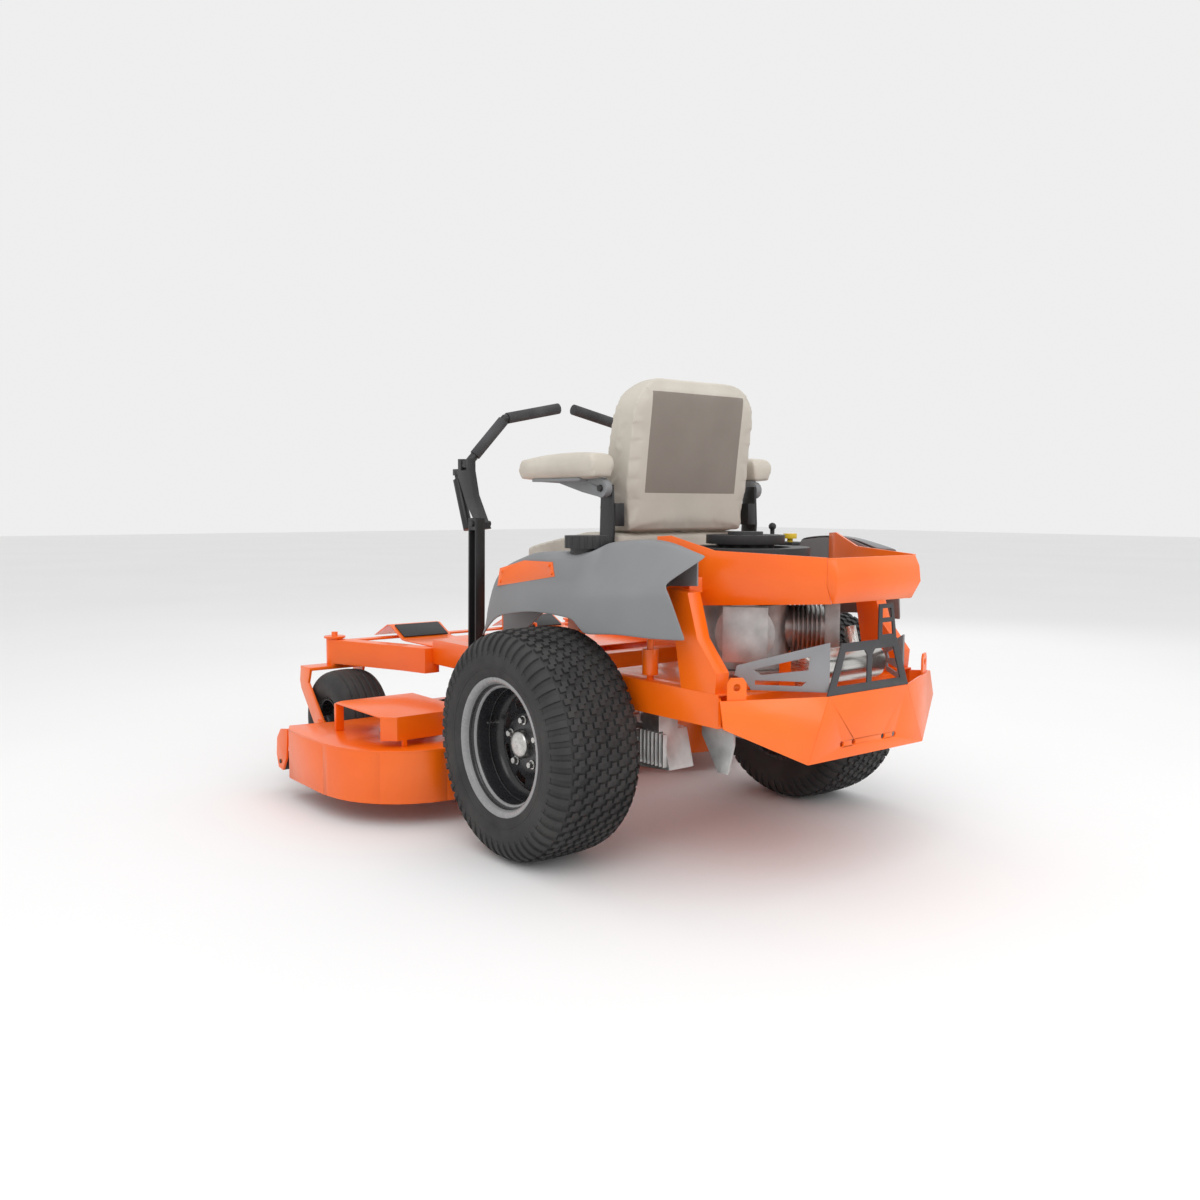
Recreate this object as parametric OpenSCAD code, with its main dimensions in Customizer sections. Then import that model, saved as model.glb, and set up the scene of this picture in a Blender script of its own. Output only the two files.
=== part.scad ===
// Zero turn riding mower: +X is forward, +Y is the driver's left, +Z is up, in millimetres.
// The origin is on the ground, midway between the two drive wheels.

/* [Drive wheels] */
// Outer radius of the drive tyres
tyre_r = 279.5; // [250:0.5:300]
// Width of the drive tyres
tyre_w = 250; // [200:1:270]
// Distance from the centre plane to a drive tyre's outer wall
track_half = 608.5; // [590:0.5:680]
// Radius of the drive rim's flange
rim_r = 166; // [150:1:185]
// Radius of the drive axle shafts
axle_r = 20; // [16:0.5:26]

/* [Casters] */
// Distance from the drive axle to the caster pivots
caster_x = 1151; // [1130:1:1300]
// Distance from the centre plane to each caster pivot
caster_y = 479; // [465:1:500]
// Radius of the caster tyres
caster_r = 165; // [140:1:166]
// Width of the caster tyres
caster_w = 164; // [120:1:166]
// Distance from the caster pivot back to its axle
caster_trail = 92; // [80:1:94]
// Radius of the caster kingpins
kingpin_r = 15.9; // [12:0.1:18]
// Radius of the caster axle bolts
caster_axle_r = 9.5; // [7:0.1:12]

/* [Frame] */
// Outer face of the side rails, from the centre plane
rail_y = 340; // [325:1:345]
// Width of the side rails
rail_w = 50; // [40:1:60]
// Height of the side rails
rail_h = 75; // [60:1:90]
// Underside of the side rails
rail_z = 370; // [360:1:380]
// Wall of the frame tubes
tube_wall = 4; // [3:0.5:6]
// Thickness of the bumper and guard sheet
sheet_t = 5; // [3:0.5:6]
// Rear face of the bumper
bumper_x = -617; // [-660:1:-600]

/* [Deck] */
// Half width of the cutting deck
deck_half = 762; // [740:1:790]
// Top of the deck
deck_top = 205; // [195:1:212]
// Lower edge of the deck
deck_low = 62; // [40:1:80]
// Thickness of the deck plate
deck_t = 5; // [3:0.5:8]
// Distance from the drive axle to the outer spindles
side_spindle_x = 620; // [600:1:626]
// Distance from the centre plane to the outer spindles
side_spindle_y = 497; // [490:1:505]
// Distance from the drive axle to the middle spindle
mid_spindle_x = 790; // [780:1:800]
// Half length of each blade
blade_half = 250; // [220:1:252]
// Radius of the spindle shafts
shaft_r = 12.7; // [10:0.1:16]
// How far the deck can be raised
deck_travel = 50; // [20:1:52]

/* [Seat] */
// Half width of the seat cushion
seat_half = 250; // [220:1:255]
// Top of the seat cushion
seat_top = 778; // [765:1:790]
// Top of the seat back
back_top = 1187; // [1100:1:1250]
// Height of the armrest pads' underside
arm_z = 922; // [915:1:940]
// Distance from the centre plane to the middle of each armrest
arm_y = 285; // [282:1:290]

/* [Levers] */
// Radius of the padded lever grips
grip_r = 16; // [14:0.5:18]
// Radius of the steel lever bars
bar_r = 12.7; // [10:0.1:13]
// Gap between the two lever tips
tip_gap = 66; // [40:1:100]
// Height of the lever tips
tip_z = 1140; // [1100:1:1180]

/* [Engine] */
// Distance from the drive axle back to the engine crankshaft
crank_back = 222; // [215:1:230]
// Radius of the engine fan screen
screen_r = 98; // [80:1:105]

/* [Hidden] */
$fn = 48;
orange = [1, 0.42, 0];
grey = [0.5, 0.5, 0.5];
black = [0.08, 0.08, 0.08];
silver = [0.75, 0.75, 0.76];
beige = [0.55, 0.52, 0.47];
rubber = [0.12, 0.12, 0.13];
eps = 0.01;
// Radial clearance of the running fits
fit = 0.05;
// Gap left between a moving face and its neighbour
gap = 0.3;

// Drive wheel
tyre_y = track_half - tyre_w / 2;
wheel_z = tyre_r;
bead_r = rim_r - 14;
flange_y = tyre_w / 2 - 15;
flange_t = 8;
disc_y = 14;
disc_t = 8;
hub_r = 46;
hub_back = 40;

// Caster
caster_z = caster_r;
caster_axle_x = caster_x - caster_trail;
tube_r = 27;
tube_low = 334;
tube_top = 422;
crown_t = 10;
arm_gap = 6;
arm_t = 8;
caster_rim_r = 78;

// Frame
rail_top = rail_z + rail_h;
rail_mid = rail_y - rail_w / 2;
rail_in = rail_y - rail_w;
rail_back = -480;
rail_front = 760;
beam_low = 342;
beam_top = 418;
bumper_top = 439;
bumper_low = 296;
engine_plate_z = rail_top - 12;
engine_plate_t = 8;

// Deck
belt_z = 243;
cover_top = 288;
cover_t = 4;
arc_r = 262;
corner_x = 855;
front_x = 878;
front_y = 352;
nose_x = 1050;
nose_y = 186;

// Seat
pan_z = 680;
pan_t = 8;
tip_x = 400;
tip_pivot_z = 655;
arm_pivot = [12, 895];
arm_pin_r = 8;

// Levers
lever_pivot = [476, 800];
swing_z = 965;
lever_low = [572, 322, 972];
lever_bend = [542, 216, 1102];
lever_tip = [538, tip_gap / 2, tip_z];
pivot_r = 8;

// Engine
crank_x = -crank_back;
shroud_r = 160;
shroud_low = 632;
shroud_top = 750;

module both_sides() {
  children();
  mirror([0, 1, 0]) children();
}

// A plate with an outline in X and Z, from y to y + t
module side_plate(outline, y, t) {
  translate([0, y + t, 0]) rotate([90, 0, 0]) linear_extrude(t) polygon(outline);
}

// A plate with an outline in Y and Z, from x to x + t
module cross_plate(outline, x, t) {
  translate([x, 0, 0]) rotate([90, 0, 90]) linear_extrude(t) polygon(outline);
}

// A box from its lowest corner to its highest corner
module block(low, high) {
  translate(low) cube(high - low);
}

// A round bar between two points
module bar(p, q, r) {
  d = q - p;
  translate(p) rotate([0, acos(d[2] / norm(d)), atan2(d[1], d[0])]) cylinder(h = norm(d), r = r);
}

// A cylinder along Y, from y0 to y1
module axle(x, z, y0, y1, r) {
  translate([x, y1, z]) rotate([90, 0, 0]) cylinder(h = y1 - y0, r = r);
}

// A solid of revolution about the Y axis at (x, y, z); the profile holds [radius, y] points
module turned(x, y, z, profile) {
  translate([x, y, z]) rotate([-90, 0, 0]) rotate_extrude($fn = 96) polygon(profile);
}

// A rectangular tube along X that is open at its ends
module tube_x(x0, x1, y0, y1, z0, z1, wall) {
  difference() {
    block([x0, y0, z0], [x1, y1, z1]);
    block([x0 - 1, y0 + wall, z0 + wall], [x1 + 1, y1 - wall, z1 - wall]);
  }
}

// A rectangular tube along Y that is open at its ends
module tube_y(x0, x1, y0, y1, z0, z1, wall) {
  difference() {
    block([x0, y0, z0], [x1, y1, z1]);
    block([x0 + wall, y0 - 1, z0 + wall], [x1 - wall, y1 + 1, z1 - wall]);
  }
}

// Points of an arc about c, from angle a to angle b in n steps
function arc(c, r, a, b, n) = [for (i = [0:n]) c + r * [cos(a + (b - a) * i / n), sin(a + (b - a) * i / n)]];

// A closed sheet between an outer and an inner grid of points, both rows x cols
module sheet_grid(outer, inner) {
  rows = len(outer);
  cols = len(outer[0]);
  n = rows * cols;
  points = concat([for (r = outer) each r], [for (r = inner) each r]);
  top = [for (i = [0:rows - 2], j = [0:cols - 2], k = [0:1])
    let (a = i * cols + j) k == 0 ? [a, a + 1, a + cols + 1] : [a, a + cols + 1, a + cols]];
  low = [for (f = top) [f[2] + n, f[1] + n, f[0] + n]];
  rim = concat([for (j = [0:cols - 2]) j], [for (i = [0:rows - 2]) i * cols + cols - 1],
               [for (j = [cols - 1:-1:1]) (rows - 1) * cols + j], [for (i = [rows - 1:-1:1]) i * cols]);
  side = [for (i = [0:len(rim) - 1], k = [0:1])
    let (a = rim[i], b = rim[(i + 1) % len(rim)]) k == 0 ? [b, a, a + n] : [b, a + n, b + n]];
  polyhedron(points, concat(top, low, side), convexity = 6);
}

// Rails from the bumper to the front beams
module side_rails() {
  color(orange) both_sides()
    tube_x(rail_back, rail_front, rail_in, rail_y, rail_z, rail_top, tube_wall);
}

// Cross tubes, the engine plate, and the brackets that guide the deck's hangers
module crossmembers() {
  color(orange) {
    tube_y(rail_front - 50, rail_front, -rail_in, rail_in, rail_z, beam_top - gap, tube_wall);
    tube_y(330, 380, -rail_in, rail_in, rail_z, rail_z + 50, tube_wall);
    tube_y(-474, -424, -rail_in, rail_in, rail_z, engine_plate_z, tube_wall);
    difference() {
      block([-420, -rail_in, engine_plate_z], [-20, rail_in, engine_plate_z + engine_plate_t]);
      translate([crank_x, 0, engine_plate_z - 1]) cylinder(h = engine_plate_t + 2, r = 30);
    }
    both_sides() for (x = [rear_hanger_x, front_hanger_x]) difference() {
      block([x - 20, hanger_y - 20, hanger_low], [x + 20, rail_in, rail_z]);
      translate([x, hanger_y, hanger_low - 1]) cylinder(h = 100, r = hanger_r + fit);
      block([x - 14, hanger_y - 30, hanger_low + 12], [x + 14, rail_in - 6, rail_z + 1]);
    }
    tube_y(tip_x - 16, tip_x + 16, -seat_post_y, seat_post_y, 590, 630, tube_wall);
    tube_y(56, 104, -seat_post_y, seat_post_y, 612, pan_z - 28 - gap, tube_wall);
    both_sides() {
      block([tip_x - 16, seat_post_y, rail_top], [tip_x + 16, console_in - gap, 630]);
      block([56, seat_post_y, rail_top], [104, console_in - gap, pan_z - 28 - gap]);
      difference() {
        side_plate([[tip_x - 16, 630], [tip_x + 16, 630], [tip_x + 14, tip_pivot_z + 12],
                    [tip_x - 14, tip_pivot_z + 12]], 206, 6);
        axle(tip_x, tip_pivot_z, 200, 220, arm_pin_r + fit);
      }
      side_plate([[-474, engine_plate_z], [-430, engine_plate_z], [-430, 500],
                  [muffler_x + muffler_r + gap, 500], [muffler_x + muffler_r + gap, 476]], 90, 6);
    }
  }
}
seat_post_y = rail_in + 2;
muffler_x = -528;
muffler_r = 40;
rear_hanger_x = 455;
front_hanger_x = 690;
hanger_y = 262;
hanger_low = 312;
hanger_r = 6;

// Beams that run out to the caster pivots, with the pivot tubes at their ends
beam_path = [[rail_front, rail_y], [870, 371], [caster_x, caster_y]];
beam_half = 25;
// Inner face of the outer beam leg at x
function beam_in(x) = let (d = beam_path[2] - beam_path[1])
  beam_path[1][1] + (x - beam_path[1][0]) * d[1] / d[0] - beam_half * norm(d) / d[0];
module beam_leg(a, b, grow) {
  d = (b - a) / norm(b - a);
  s = [-d[1], d[0]] * beam_half;
  polygon([a + s - d * grow, b + s + d * grow, b - s + d * grow, a - s - d * grow]);
}
module front_beams() {
  color(orange) both_sides() difference() {
    union() {
      intersection() {
        translate([0, 0, beam_low]) linear_extrude(beam_top - beam_low) union() {
          beam_leg(beam_path[0], beam_path[1], 3);
          beam_leg(beam_path[1], beam_path[2], 3);
        }
        block([rail_front, 0, 0], [caster_x + 20, 800, 800]);
      }
      translate([caster_x, caster_y, tube_low]) cylinder(h = tube_top - tube_low, r = tube_r);
    }
    translate([caster_x, caster_y, tube_low - 1]) cylinder(h = 200, r = kingpin_r + fit);
  }
}

// Middle of the bumper, with accessory holes and a hitch tab
bumper_hole_r = 6.5;
bumper_hole_y = [52, 92];
bumper_hole_z = 328;
hitch_r = 9.5;
module rear_bumper() {
  color(orange) {
    difference() {
      cross_plate([[-202, bumper_low], [202, bumper_low], [138, bumper_top], [-138, bumper_top]],
                  bumper_x, sheet_t);
      for (s = [-1, 1], y = bumper_hole_y)
        translate([bumper_x - 1, s * y, bumper_hole_z]) rotate([0, 90, 0])
          cylinder(h = sheet_t + 2, r = bumper_hole_r);
    }
    difference() {
      block([bumper_x + sheet_t, -45, bumper_low + 8], [bumper_x + 70, 45, bumper_low + 14]);
      translate([bumper_x + 45, 0, bumper_low]) cylinder(h = 30, r = hitch_r);
    }
  }
}

// Folded wings that join the middle of the bumper to the rails
module bumper_wings() {
  wing = [[-516, 369, bumper_top], [bumper_x, 138 + eps, bumper_top],
          [-527, 369, 380], [bumper_x, 202 + eps, bumper_low]];
  inward = [sheet_t, -2, 0];
  color(orange) both_sides() {
    sheet_grid([[wing[1], wing[3]], [wing[0], wing[2]]],
               [[wing[1] + [sheet_t, 0, 0], wing[3] + [sheet_t, 0, 0]],
                [wing[0] + inward, wing[2] + inward]]);
    translate([0, 0, 381]) linear_extrude(bumper_top - 381)
      polygon([[rail_back, rail_y], [-510, 368], [-512, 362], [rail_back, rail_y - 8]]);
    translate([-527, 330, 0]) rotate([0, 0, 66.4]) difference() {
      side_plate([[-22, 425], [22, 425], [22, 476], [14, 487], [-14, 487], [-22, 476]], -5, 5);
      axle(0, 466, -20, 20, 8);
    }
  }
}

// Posts that carry the guard, and the spring struts beside them
module uprights() {
  color(orange) both_sides()
    side_plate([[-318, 666], [-380, 660], [-412, 560], [-474, 490], [-470, rail_top], [-361, rail_top]],
               rail_y - 38, 38);
  color(silver) both_sides() {
    translate([-226, rail_mid, rail_top]) cylinder(h = 95, r = 8);
    translate([-226, rail_mid, rail_top + 12]) cylinder(h = 60, r = 19);
  }
}

// Guard around the engine: each [x, y] is a corner of its outer face
guard_front = [-238, 306];
guard_corner = [-640, 146];
guard_seam_x = -618;
// Height of the guard's top edge at each x
guard_top = [[-640, 741], [-373, 751], [-270, 783], [-238, 781]];
function guard_pt(x) = [x, guard_front[1] + (x - guard_front[0]) * (guard_corner[1] - guard_front[1])
                         / (guard_corner[0] - guard_front[0])];
// Heights of the guard's top edge, fold and lower edge at x, and how far the lower edge is set in
function guard_rows(x) = let (f = (x - guard_corner[0]) / (guard_front[0] - guard_corner[0]))
  [[0, lookup(x, guard_top)], [0, 682 - 25 * f], [16, 642 - 24 * f]];
module guard_strip(xs, t) {
  outer = [for (x = xs) [for (r = guard_rows(x)) [x, guard_pt(x)[1] - r[0], r[1]]]];
  inner = [for (row = outer) [for (p = row) p + [t * 0.37, -t * 0.93, 0]]];
  sheet_grid(outer, inner);
}
module guard_arms() {
  color(orange) both_sides() {
    guard_strip([guard_seam_x, guard_top[1][0], guard_top[2][0], guard_front[0]], sheet_t);
    side_plate([[-318, 690], [-345, 690], [-345, 655], [-318, 662]], 262, 40);
  }
}
module guard_rear_cap() {
  seam_x = guard_seam_x - gap;
  seam = guard_pt(seam_x)[1];
  path = [[seam_x, seam], guard_corner, [guard_corner[0], -guard_corner[1]], [seam_x, -seam]];
  color(orange) sheet_grid([for (i = [3:-1:0]) cap_rib(path[i], 0)],
    [for (i = [3:-1:0]) cap_rib(path[i], sheet_t)]);
}
// Points down the cap at p, moved in towards the engine by t
function cap_rib(p, t) = p[0] == guard_corner[0]
  ? [for (r = [[12, 741], [3, 716], [0, 681], [16, 642]])
    [p[0] + r[0] + t, p[1] - sign(p[1]) * (r[0] + t) * 0.68, r[1]]]
  : [for (r = [[2, 741], [0, 716], [0, 681], [16, 642]]) [p[0], p[1] - sign(p[1]) * (r[0] + t) * 1.08, r[1]]];

// Braces between the rails and the tail plate
brace_a = [-450, 262];
brace_b = [-608.6, 128];
module rear_braces() {
  d = brace_b - brace_a;
  run = norm(d);
  low = rail_top + 1;
  color(grey) both_sides() translate([brace_a[0], brace_a[1], 0]) rotate([0, 0, atan2(d[1], d[0])])
    rotate([90, 0, 0]) linear_extrude(4) difference() {
      polygon([[0, 478], [6, 500], [run, 556], [run, low], [38, low], [22, 470]]);
      polygon([[42, 492], [run - 42, 524], [run - 46, 494], [60, 480]]);
      polygon([[46, 458], [run - 60, 458], [run - 50, 468], [46, 468]]);
    }
}

// Tail plate with two windows, and the small cage above it
module tail_plate() {
  x = bumper_x + 1;
  color([0.2, 0.2, 0.22]) {
    difference() {
      cross_plate([[-142, bumper_top + gap], [142, bumper_top + gap], [97, 552], [-97, 552]], x, 4);
      for (s = [-1, 1])
        cross_plate([for (p = [[8, 458], [112, 458], [84, 532], [18, 532], [8, 520]]) [s * p[0], p[1]]],
                    x - 1, 6);
    }
    difference() {
      cross_plate([[-94, 552], [-30, 552], [-30, 632], [-80, 632]], x, 4);
      cross_plate([[-82, 562], [-42, 562], [-42, 590], [-78, 590]], x - 1, 6);
      cross_plate([[-76, 600], [-42, 600], [-42, 622], [-72, 622]], x - 1, 6);
    }
  }
}

// Moulded side console: an outer skin that flares over the wheel, and a flat inner wall
console_in = 312;
console_out = 420;
console_top = 736;
console_wall = 5;
// Ribs of the skin from the rear to the front, each from its top inner edge down to its lower edge
console_ribs = [
  [[-385, console_in + 1, 741], [-434, 335, 739], [-365, 395, 679], [-389, 400, 657], [-414, 375, 559]],
  [[-289, console_in + 1, 772], [-289, 345, 770], [-299, 405, 671], [-311, 415, 651], [-306, 410, 556]],
  [[-193, console_in + 1, 770], [-193, 360, 768], [-228, 410, 670], [-241, 425, 647], [-248, 430, 562]],
  [[-130, console_in + 1, 762], [-130, 372, 760], [-118, 418, 669], [-100, 430, 636], [-134, 440, 549]],
  [[-118, console_in + 1, console_top], [-107, console_out, console_top], [-60, console_out, 667],
   [-68, 430, 633], [-90, 440, 585]],
  [[104, console_in + 1, console_top], [100, console_out, console_top], [100, console_out, 660],
   [88, 430, 625], [60, 440, 590]],
  [[160, console_in + 1, 722], [160, console_out, 716], [170, console_out, 651],
   [155, 430, 618], [140, 438, 581]],
  [[236, console_in + 1, 700], [256, console_out, 691], [272, console_out, 636],
   [257, 425, 609], [212, 432, 570]],
  [[275, console_in + 1, 676], [305, 408, 640], [322, 406, 600], [318, 410, 578], [283, 420, 555]],
  [[345, console_in + 1, 600], [337, 404, 575], [347, 402, 545], [360, 398, 520], [381, 395, 496]]];
module fender() {
  inward = [[0, 0, -console_wall], [0, -4, -4], [0, -console_wall, -1],
    [0, -console_wall, -1], [0, -console_wall, 0]];
  color(grey) {
    sheet_grid(console_ribs, [for (r = console_ribs) [for (i = [0:4]) r[i] + inward[i]]]);
    side_plate(concat([for (r = console_ribs) [r[0][0], r[0][2] - 2]], [[402, 560], [402, 495], [300, 510],
      [200, 575], [-120, 600], [-290, 668.5], [-385, 674]]), console_in, console_wall);
  }
}
module fender_left() { fender(); }
module fender_right() { mirror([0, 1, 0]) fender(); }

// Floor between the rails and two foot wedges with grip pads
floor_z = beam_top;
floor_t = 4;
wedge = [[985, 423], [1062, 461], [1085, 461], [1180, 418]];
wedge_in = 140;
wedge_out = 325;
module footplate() {
  color(orange) {
    translate([0, 0, floor_z]) linear_extrude(floor_t)
      polygon([[480, -rail_in + 1], [rail_front, -rail_in + 1], [rail_front + 5, -330], [960, -330],
               [960, 330], [rail_front + 5, 330], [rail_front, rail_in - 1], [480, rail_in - 1]]);
    both_sides() side_plate(concat([[960, floor_z], [960, floor_z + floor_t]], wedge, [[1172, 418],
      [1084, 457], [1063, 457], [984, 418]]), wedge_in, wedge_out - wedge_in);
    translate([0, 0, beam_top - 6]) linear_extrude(6)
      polygon([[1090, -beam_in(1090)], [1130, -beam_in(1130)], [1130, beam_in(1130)], [1090, beam_in(1090)]]);
    for (y = [pedal_y - 26, pedal_y + 20]) difference() {
      side_plate([[884, floor_z + floor_t], [916, floor_z + floor_t], [912, 454], [888, 454]], y, 6);
      axle(pedal_pivot[0], pedal_pivot[1], y - 1, y + 7, arm_pin_r + fit);
    }
  }
}
module foot_pads() {
  color(black) both_sides() side_plate([[990, 426.2], [1056, 458.8], [1054, 462.8], [988, 430.2]],
                                       wedge_in + 12, wedge_out - wedge_in - 24);
}

// Posts that carry the control levers, with a row of height holes
module lever_posts() {
  post_low = 400;
  post_top = 816;
  color(black) both_sides() difference() {
    side_plate([[462, post_low], [504, post_low], [496, post_top], [456, post_top]], rail_y, 30);
    side_plate([[468, post_low - 1], [498, post_low - 1], [490, 782], [462, 782]], rail_y + 5, 40);
    for (z = [520:45:745]) axle(478, z, rail_y - 1, rail_y + 40, 5);
    axle(lever_pivot[0], lever_pivot[1], rail_y - 1, rail_y + 40, pivot_r + fit);
  }
}

// Hub that rocks on the post; it carries the swing pin for the lever and the damper
hinge_y = 328;
hinge_pin_r = 5;
module lever_hub() {
  color(black) {
    axle(lever_pivot[0], lever_pivot[1], 312, rail_y + 34, pivot_r);
    side_plate([[458, 786], [494, 782], [560, 860], [604, 936], [604, 950], [540, 950], [520, 880]],
               318, rail_y - 0.5 - 318);
    difference() {
      block([540, 318, 948], [604, 338, 984]);
      block([557, 300, 951], [587, 350, 990]);
    }
    translate([540, hinge_y, swing_z]) rotate([0, 90, 0]) cylinder(h = 64, r = hinge_pin_r);
    bar([622, rail_y - 12, 925], [566, rail_y - 12, 782], 14);
    bar([630, rail_y - 12, 946], [622, rail_y - 12, 925], 7);
    block([590, 322, 938], [640, 334, 956]);
  }
}
module lever_hub_left() { lever_hub(); }
module lever_hub_right() { mirror([0, 1, 0]) lever_hub(); }

// Bent bar of a control lever; its eye turns on the hub's swing pin
module lap_bar() {
  foot = [572, hinge_y, swing_z];
  color(black) difference() {
    union() {
      bar(lever_low, lever_bend, bar_r);
      bar(lever_bend, lever_tip, bar_r);
      translate(lever_bend) sphere(r = bar_r);
      translate(foot - [14.7, 0, 0]) rotate([0, 90, 0]) cylinder(h = 29.4, r = 9);
      block([557.3, 316, 962], [586.7, 336, 980]);
    }
    translate(foot - [30, 0, 0]) rotate([0, 90, 0]) cylinder(h = 60, r = hinge_pin_r + fit);
  }
}
module lap_bar_left() { lap_bar(); }
module lap_bar_right() { mirror([0, 1, 0]) lap_bar(); }

// Foam sleeves over the two straight lengths of the bar
module sleeve(a, b, cap) {
  d = (b - a) / norm(b - a);
  difference() {
    bar(a, b + d * cap, grip_r);
    bar(a - d, b + d * (cap > 0 ? fit : 1), bar_r + fit);
  }
}
module lever_grip() {
  up = (lever_bend - lever_low) / norm(lever_bend - lever_low);
  over = (lever_tip - lever_bend) / norm(lever_tip - lever_bend);
  color([0.25, 0.25, 0.26]) {
    sleeve(lever_low + up * 30, lever_bend - up * 8, 0);
    sleeve(lever_bend + over * 8, lever_tip, 5);
  }
}
module lever_grip_left() { lever_grip(); }
module lever_grip_right() { mirror([0, 1, 0]) lever_grip(); }

// Crankcase and two finned cylinders with their rocker covers, set in a V to the rear
module engine_block() {
  base = engine_plate_z + engine_plate_t;
  color(silver) {
    difference() {
      union() {
        translate([crank_x, 0, base]) cylinder(h = 170, r = 112);
        translate([crank_x, 0, base]) cylinder(h = 14, r = 140);
        for (a = [135, -135]) translate([crank_x, 0, 552]) rotate([0, 0, a]) rotate([0, 90, 0]) {
          cylinder(h = 196, r = 52);
          for (x = [118:11:184]) translate([0, 0, x]) cylinder(h = 4, r = 70);
        }
      }
      translate([crank_x, 0, base - 1]) cylinder(h = 400, r = 20 + fit);
    }
    for (a = [135, -135]) translate([crank_x, 0, 552]) rotate([0, 0, a])
      block([196, -52, -62], [232, 52, 66]);
  }
}

// Fan housing, cowl and air cleaner on top of the engine
module engine_shroud() {
  base = engine_plate_z + engine_plate_t + 170;
  color(black) difference() {
    union() {
      translate([crank_x, 0, shroud_low]) cylinder(h = shroud_top - shroud_low, r = shroud_r);
      translate([crank_x, 0, base]) cylinder(h = shroud_low - base, r = 108);
      block([-500, -95, 650], [crank_x, 95, 722]);
    }
    translate([crank_x, 0, shroud_low + 60]) cylinder(h = 200, r = screen_r + 14);
    translate([crank_x, 0, base - 1]) cylinder(h = 400, r = 20 + fit);
  }
}

// Perforated fan screen on top of the crankshaft
module engine_screen() {
  color(black) {
    translate([crank_x, 0, 600]) cylinder(h = 150, r = 20);
    translate([crank_x, 0, shroud_low + 61]) cylinder(h = 70, r = screen_r - 26);
    difference() {
      translate([crank_x, 0, 758]) cylinder(h = 22, r = screen_r);
      for (i = [0:11]) translate([crank_x, 0, 757]) rotate([0, 0, i * 30])
        block([52, -7, 0], [screen_r - 12, 7, 40]);
    }
    translate([crank_x, 0, 780]) cylinder(h = 8, r = 44);
  }
}

// Silencer across the back, with its outlet
module muffler() {
  color(silver) {
    axle(muffler_x, 488, -120, 120, muffler_r);
    axle(muffler_x, 488, -130, 130, muffler_r - 10);
    bar([muffler_x, -60, 500], [muffler_x + 20, -60, 570], 14);
  }
}

// Two pump and gear units under the rails, with the drive axle shafts
module transaxles() {
  color(silver) both_sides() {
    axle(0, wheel_z, 230, tyre_y - hub_back - 2, 48);
    axle(0, wheel_z, tyre_y - hub_back - 2, tyre_y + disc_y - 2, axle_r);
    side_plate([[-70, 205], [20, 205], [62, 240], [62, 320], [-70, 338]], 190, 100);
    side_plate([[-255, 226], [-70, 210], [-70, 330], [-230, 318]], 200, 78);
    for (x = [-245:14:-90]) side_plate([[x, 232], [x + 4, 232], [x + 4, 312], [x, 312]], 278, 12);
    block([-40, rail_in + 6, 320], [40, rail_y - 6, rail_z]);
    block([-230, rail_in - 60, 316], [-170, rail_in, rail_z + 8]);
    translate([-165, 240, 330]) cylinder(h = 20, r = 42);
  }
  color(grey) both_sides()
    side_plate([[-388, 340], [-388, rail_z], [-488, rail_z], [-488, 330], [-470, 262], [-440, 262]],
               rail_in + 4, 6);
}

// Plain plates on the consoles, each held by four screws
module side_badges() {
  color(orange) both_sides() {
    side_plate([[262, 641], [250, 688], [138, 713], [16, 714], [5, 679]], console_out + gap, 5);
    for (p = [[248, 654], [240, 680], [28, 705], [18, 686]])
      axle(p[0], p[1], console_out + 5, console_out + 8, 4);
  }
}

// Switch panel on the right console
module control_panel() {
  color(black) difference() {
    block([-80, 8 - console_out, console_top + gap], [104, -330, 750]);
    translate([pto_at[0], pto_at[1], 700]) cylinder(h = 80, r = 8 + fit);
    block([20, -398, 730], [90, -390, 760]);
    axle(throttle_at[0], throttle_at[1], -405, -383, 2.5 + fit);
  }
}
pto_at = [-45, -360];
throttle_at = [55, 743];
module pto_knob() {
  color([0.9, 0.75, 0.1]) {
    translate([pto_at[0], pto_at[1], console_top + 1]) cylinder(h = 30, r = 8);
    translate([pto_at[0], pto_at[1], 760]) cylinder(h = 14, r = 19);
  }
}
module throttle_lever() {
  color(black) {
    side_plate([[50, 738], [60, 738], [62, 790], [48, 790]], -396.5, 5);
    axle(throttle_at[0], throttle_at[1], -404, -384, 2.5);
    translate([55, -394, 792]) sphere(r = 11);
  }
}

// Screw cap of the fuel tank
fuel_at = [-63, 378];
module fuel_cap() {
  color([0.2, 0.2, 0.2]) translate([fuel_at[0], fuel_at[1], 0]) {
    translate([0, 0, console_top + gap]) cylinder(h = 15, r = 40);
    difference() {
      translate([0, 0, 750]) cylinder(h = 30, r = 54);
      for (i = [0:17]) rotate([0, 0, i * 20]) translate([57, 0, 745]) cylinder(h = 50, r = 5);
    }
  }
}

// Tipping plate below the seat; its ears turn on the front hinge
module seat_platform() {
  color(black) {
    block([20, -200, pan_z - pan_t], [tip_x + 10, 200, pan_z]);
    both_sides() block([tip_x - 20, 170, tip_pivot_z - 14], [tip_x + 10, 178, pan_z - pan_t]);
    axle(tip_x, tip_pivot_z, -214, 214, arm_pin_r);
    both_sides() block([60, 120, pan_z - 28], [100, 160, pan_z - pan_t]);
  }
}

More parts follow.
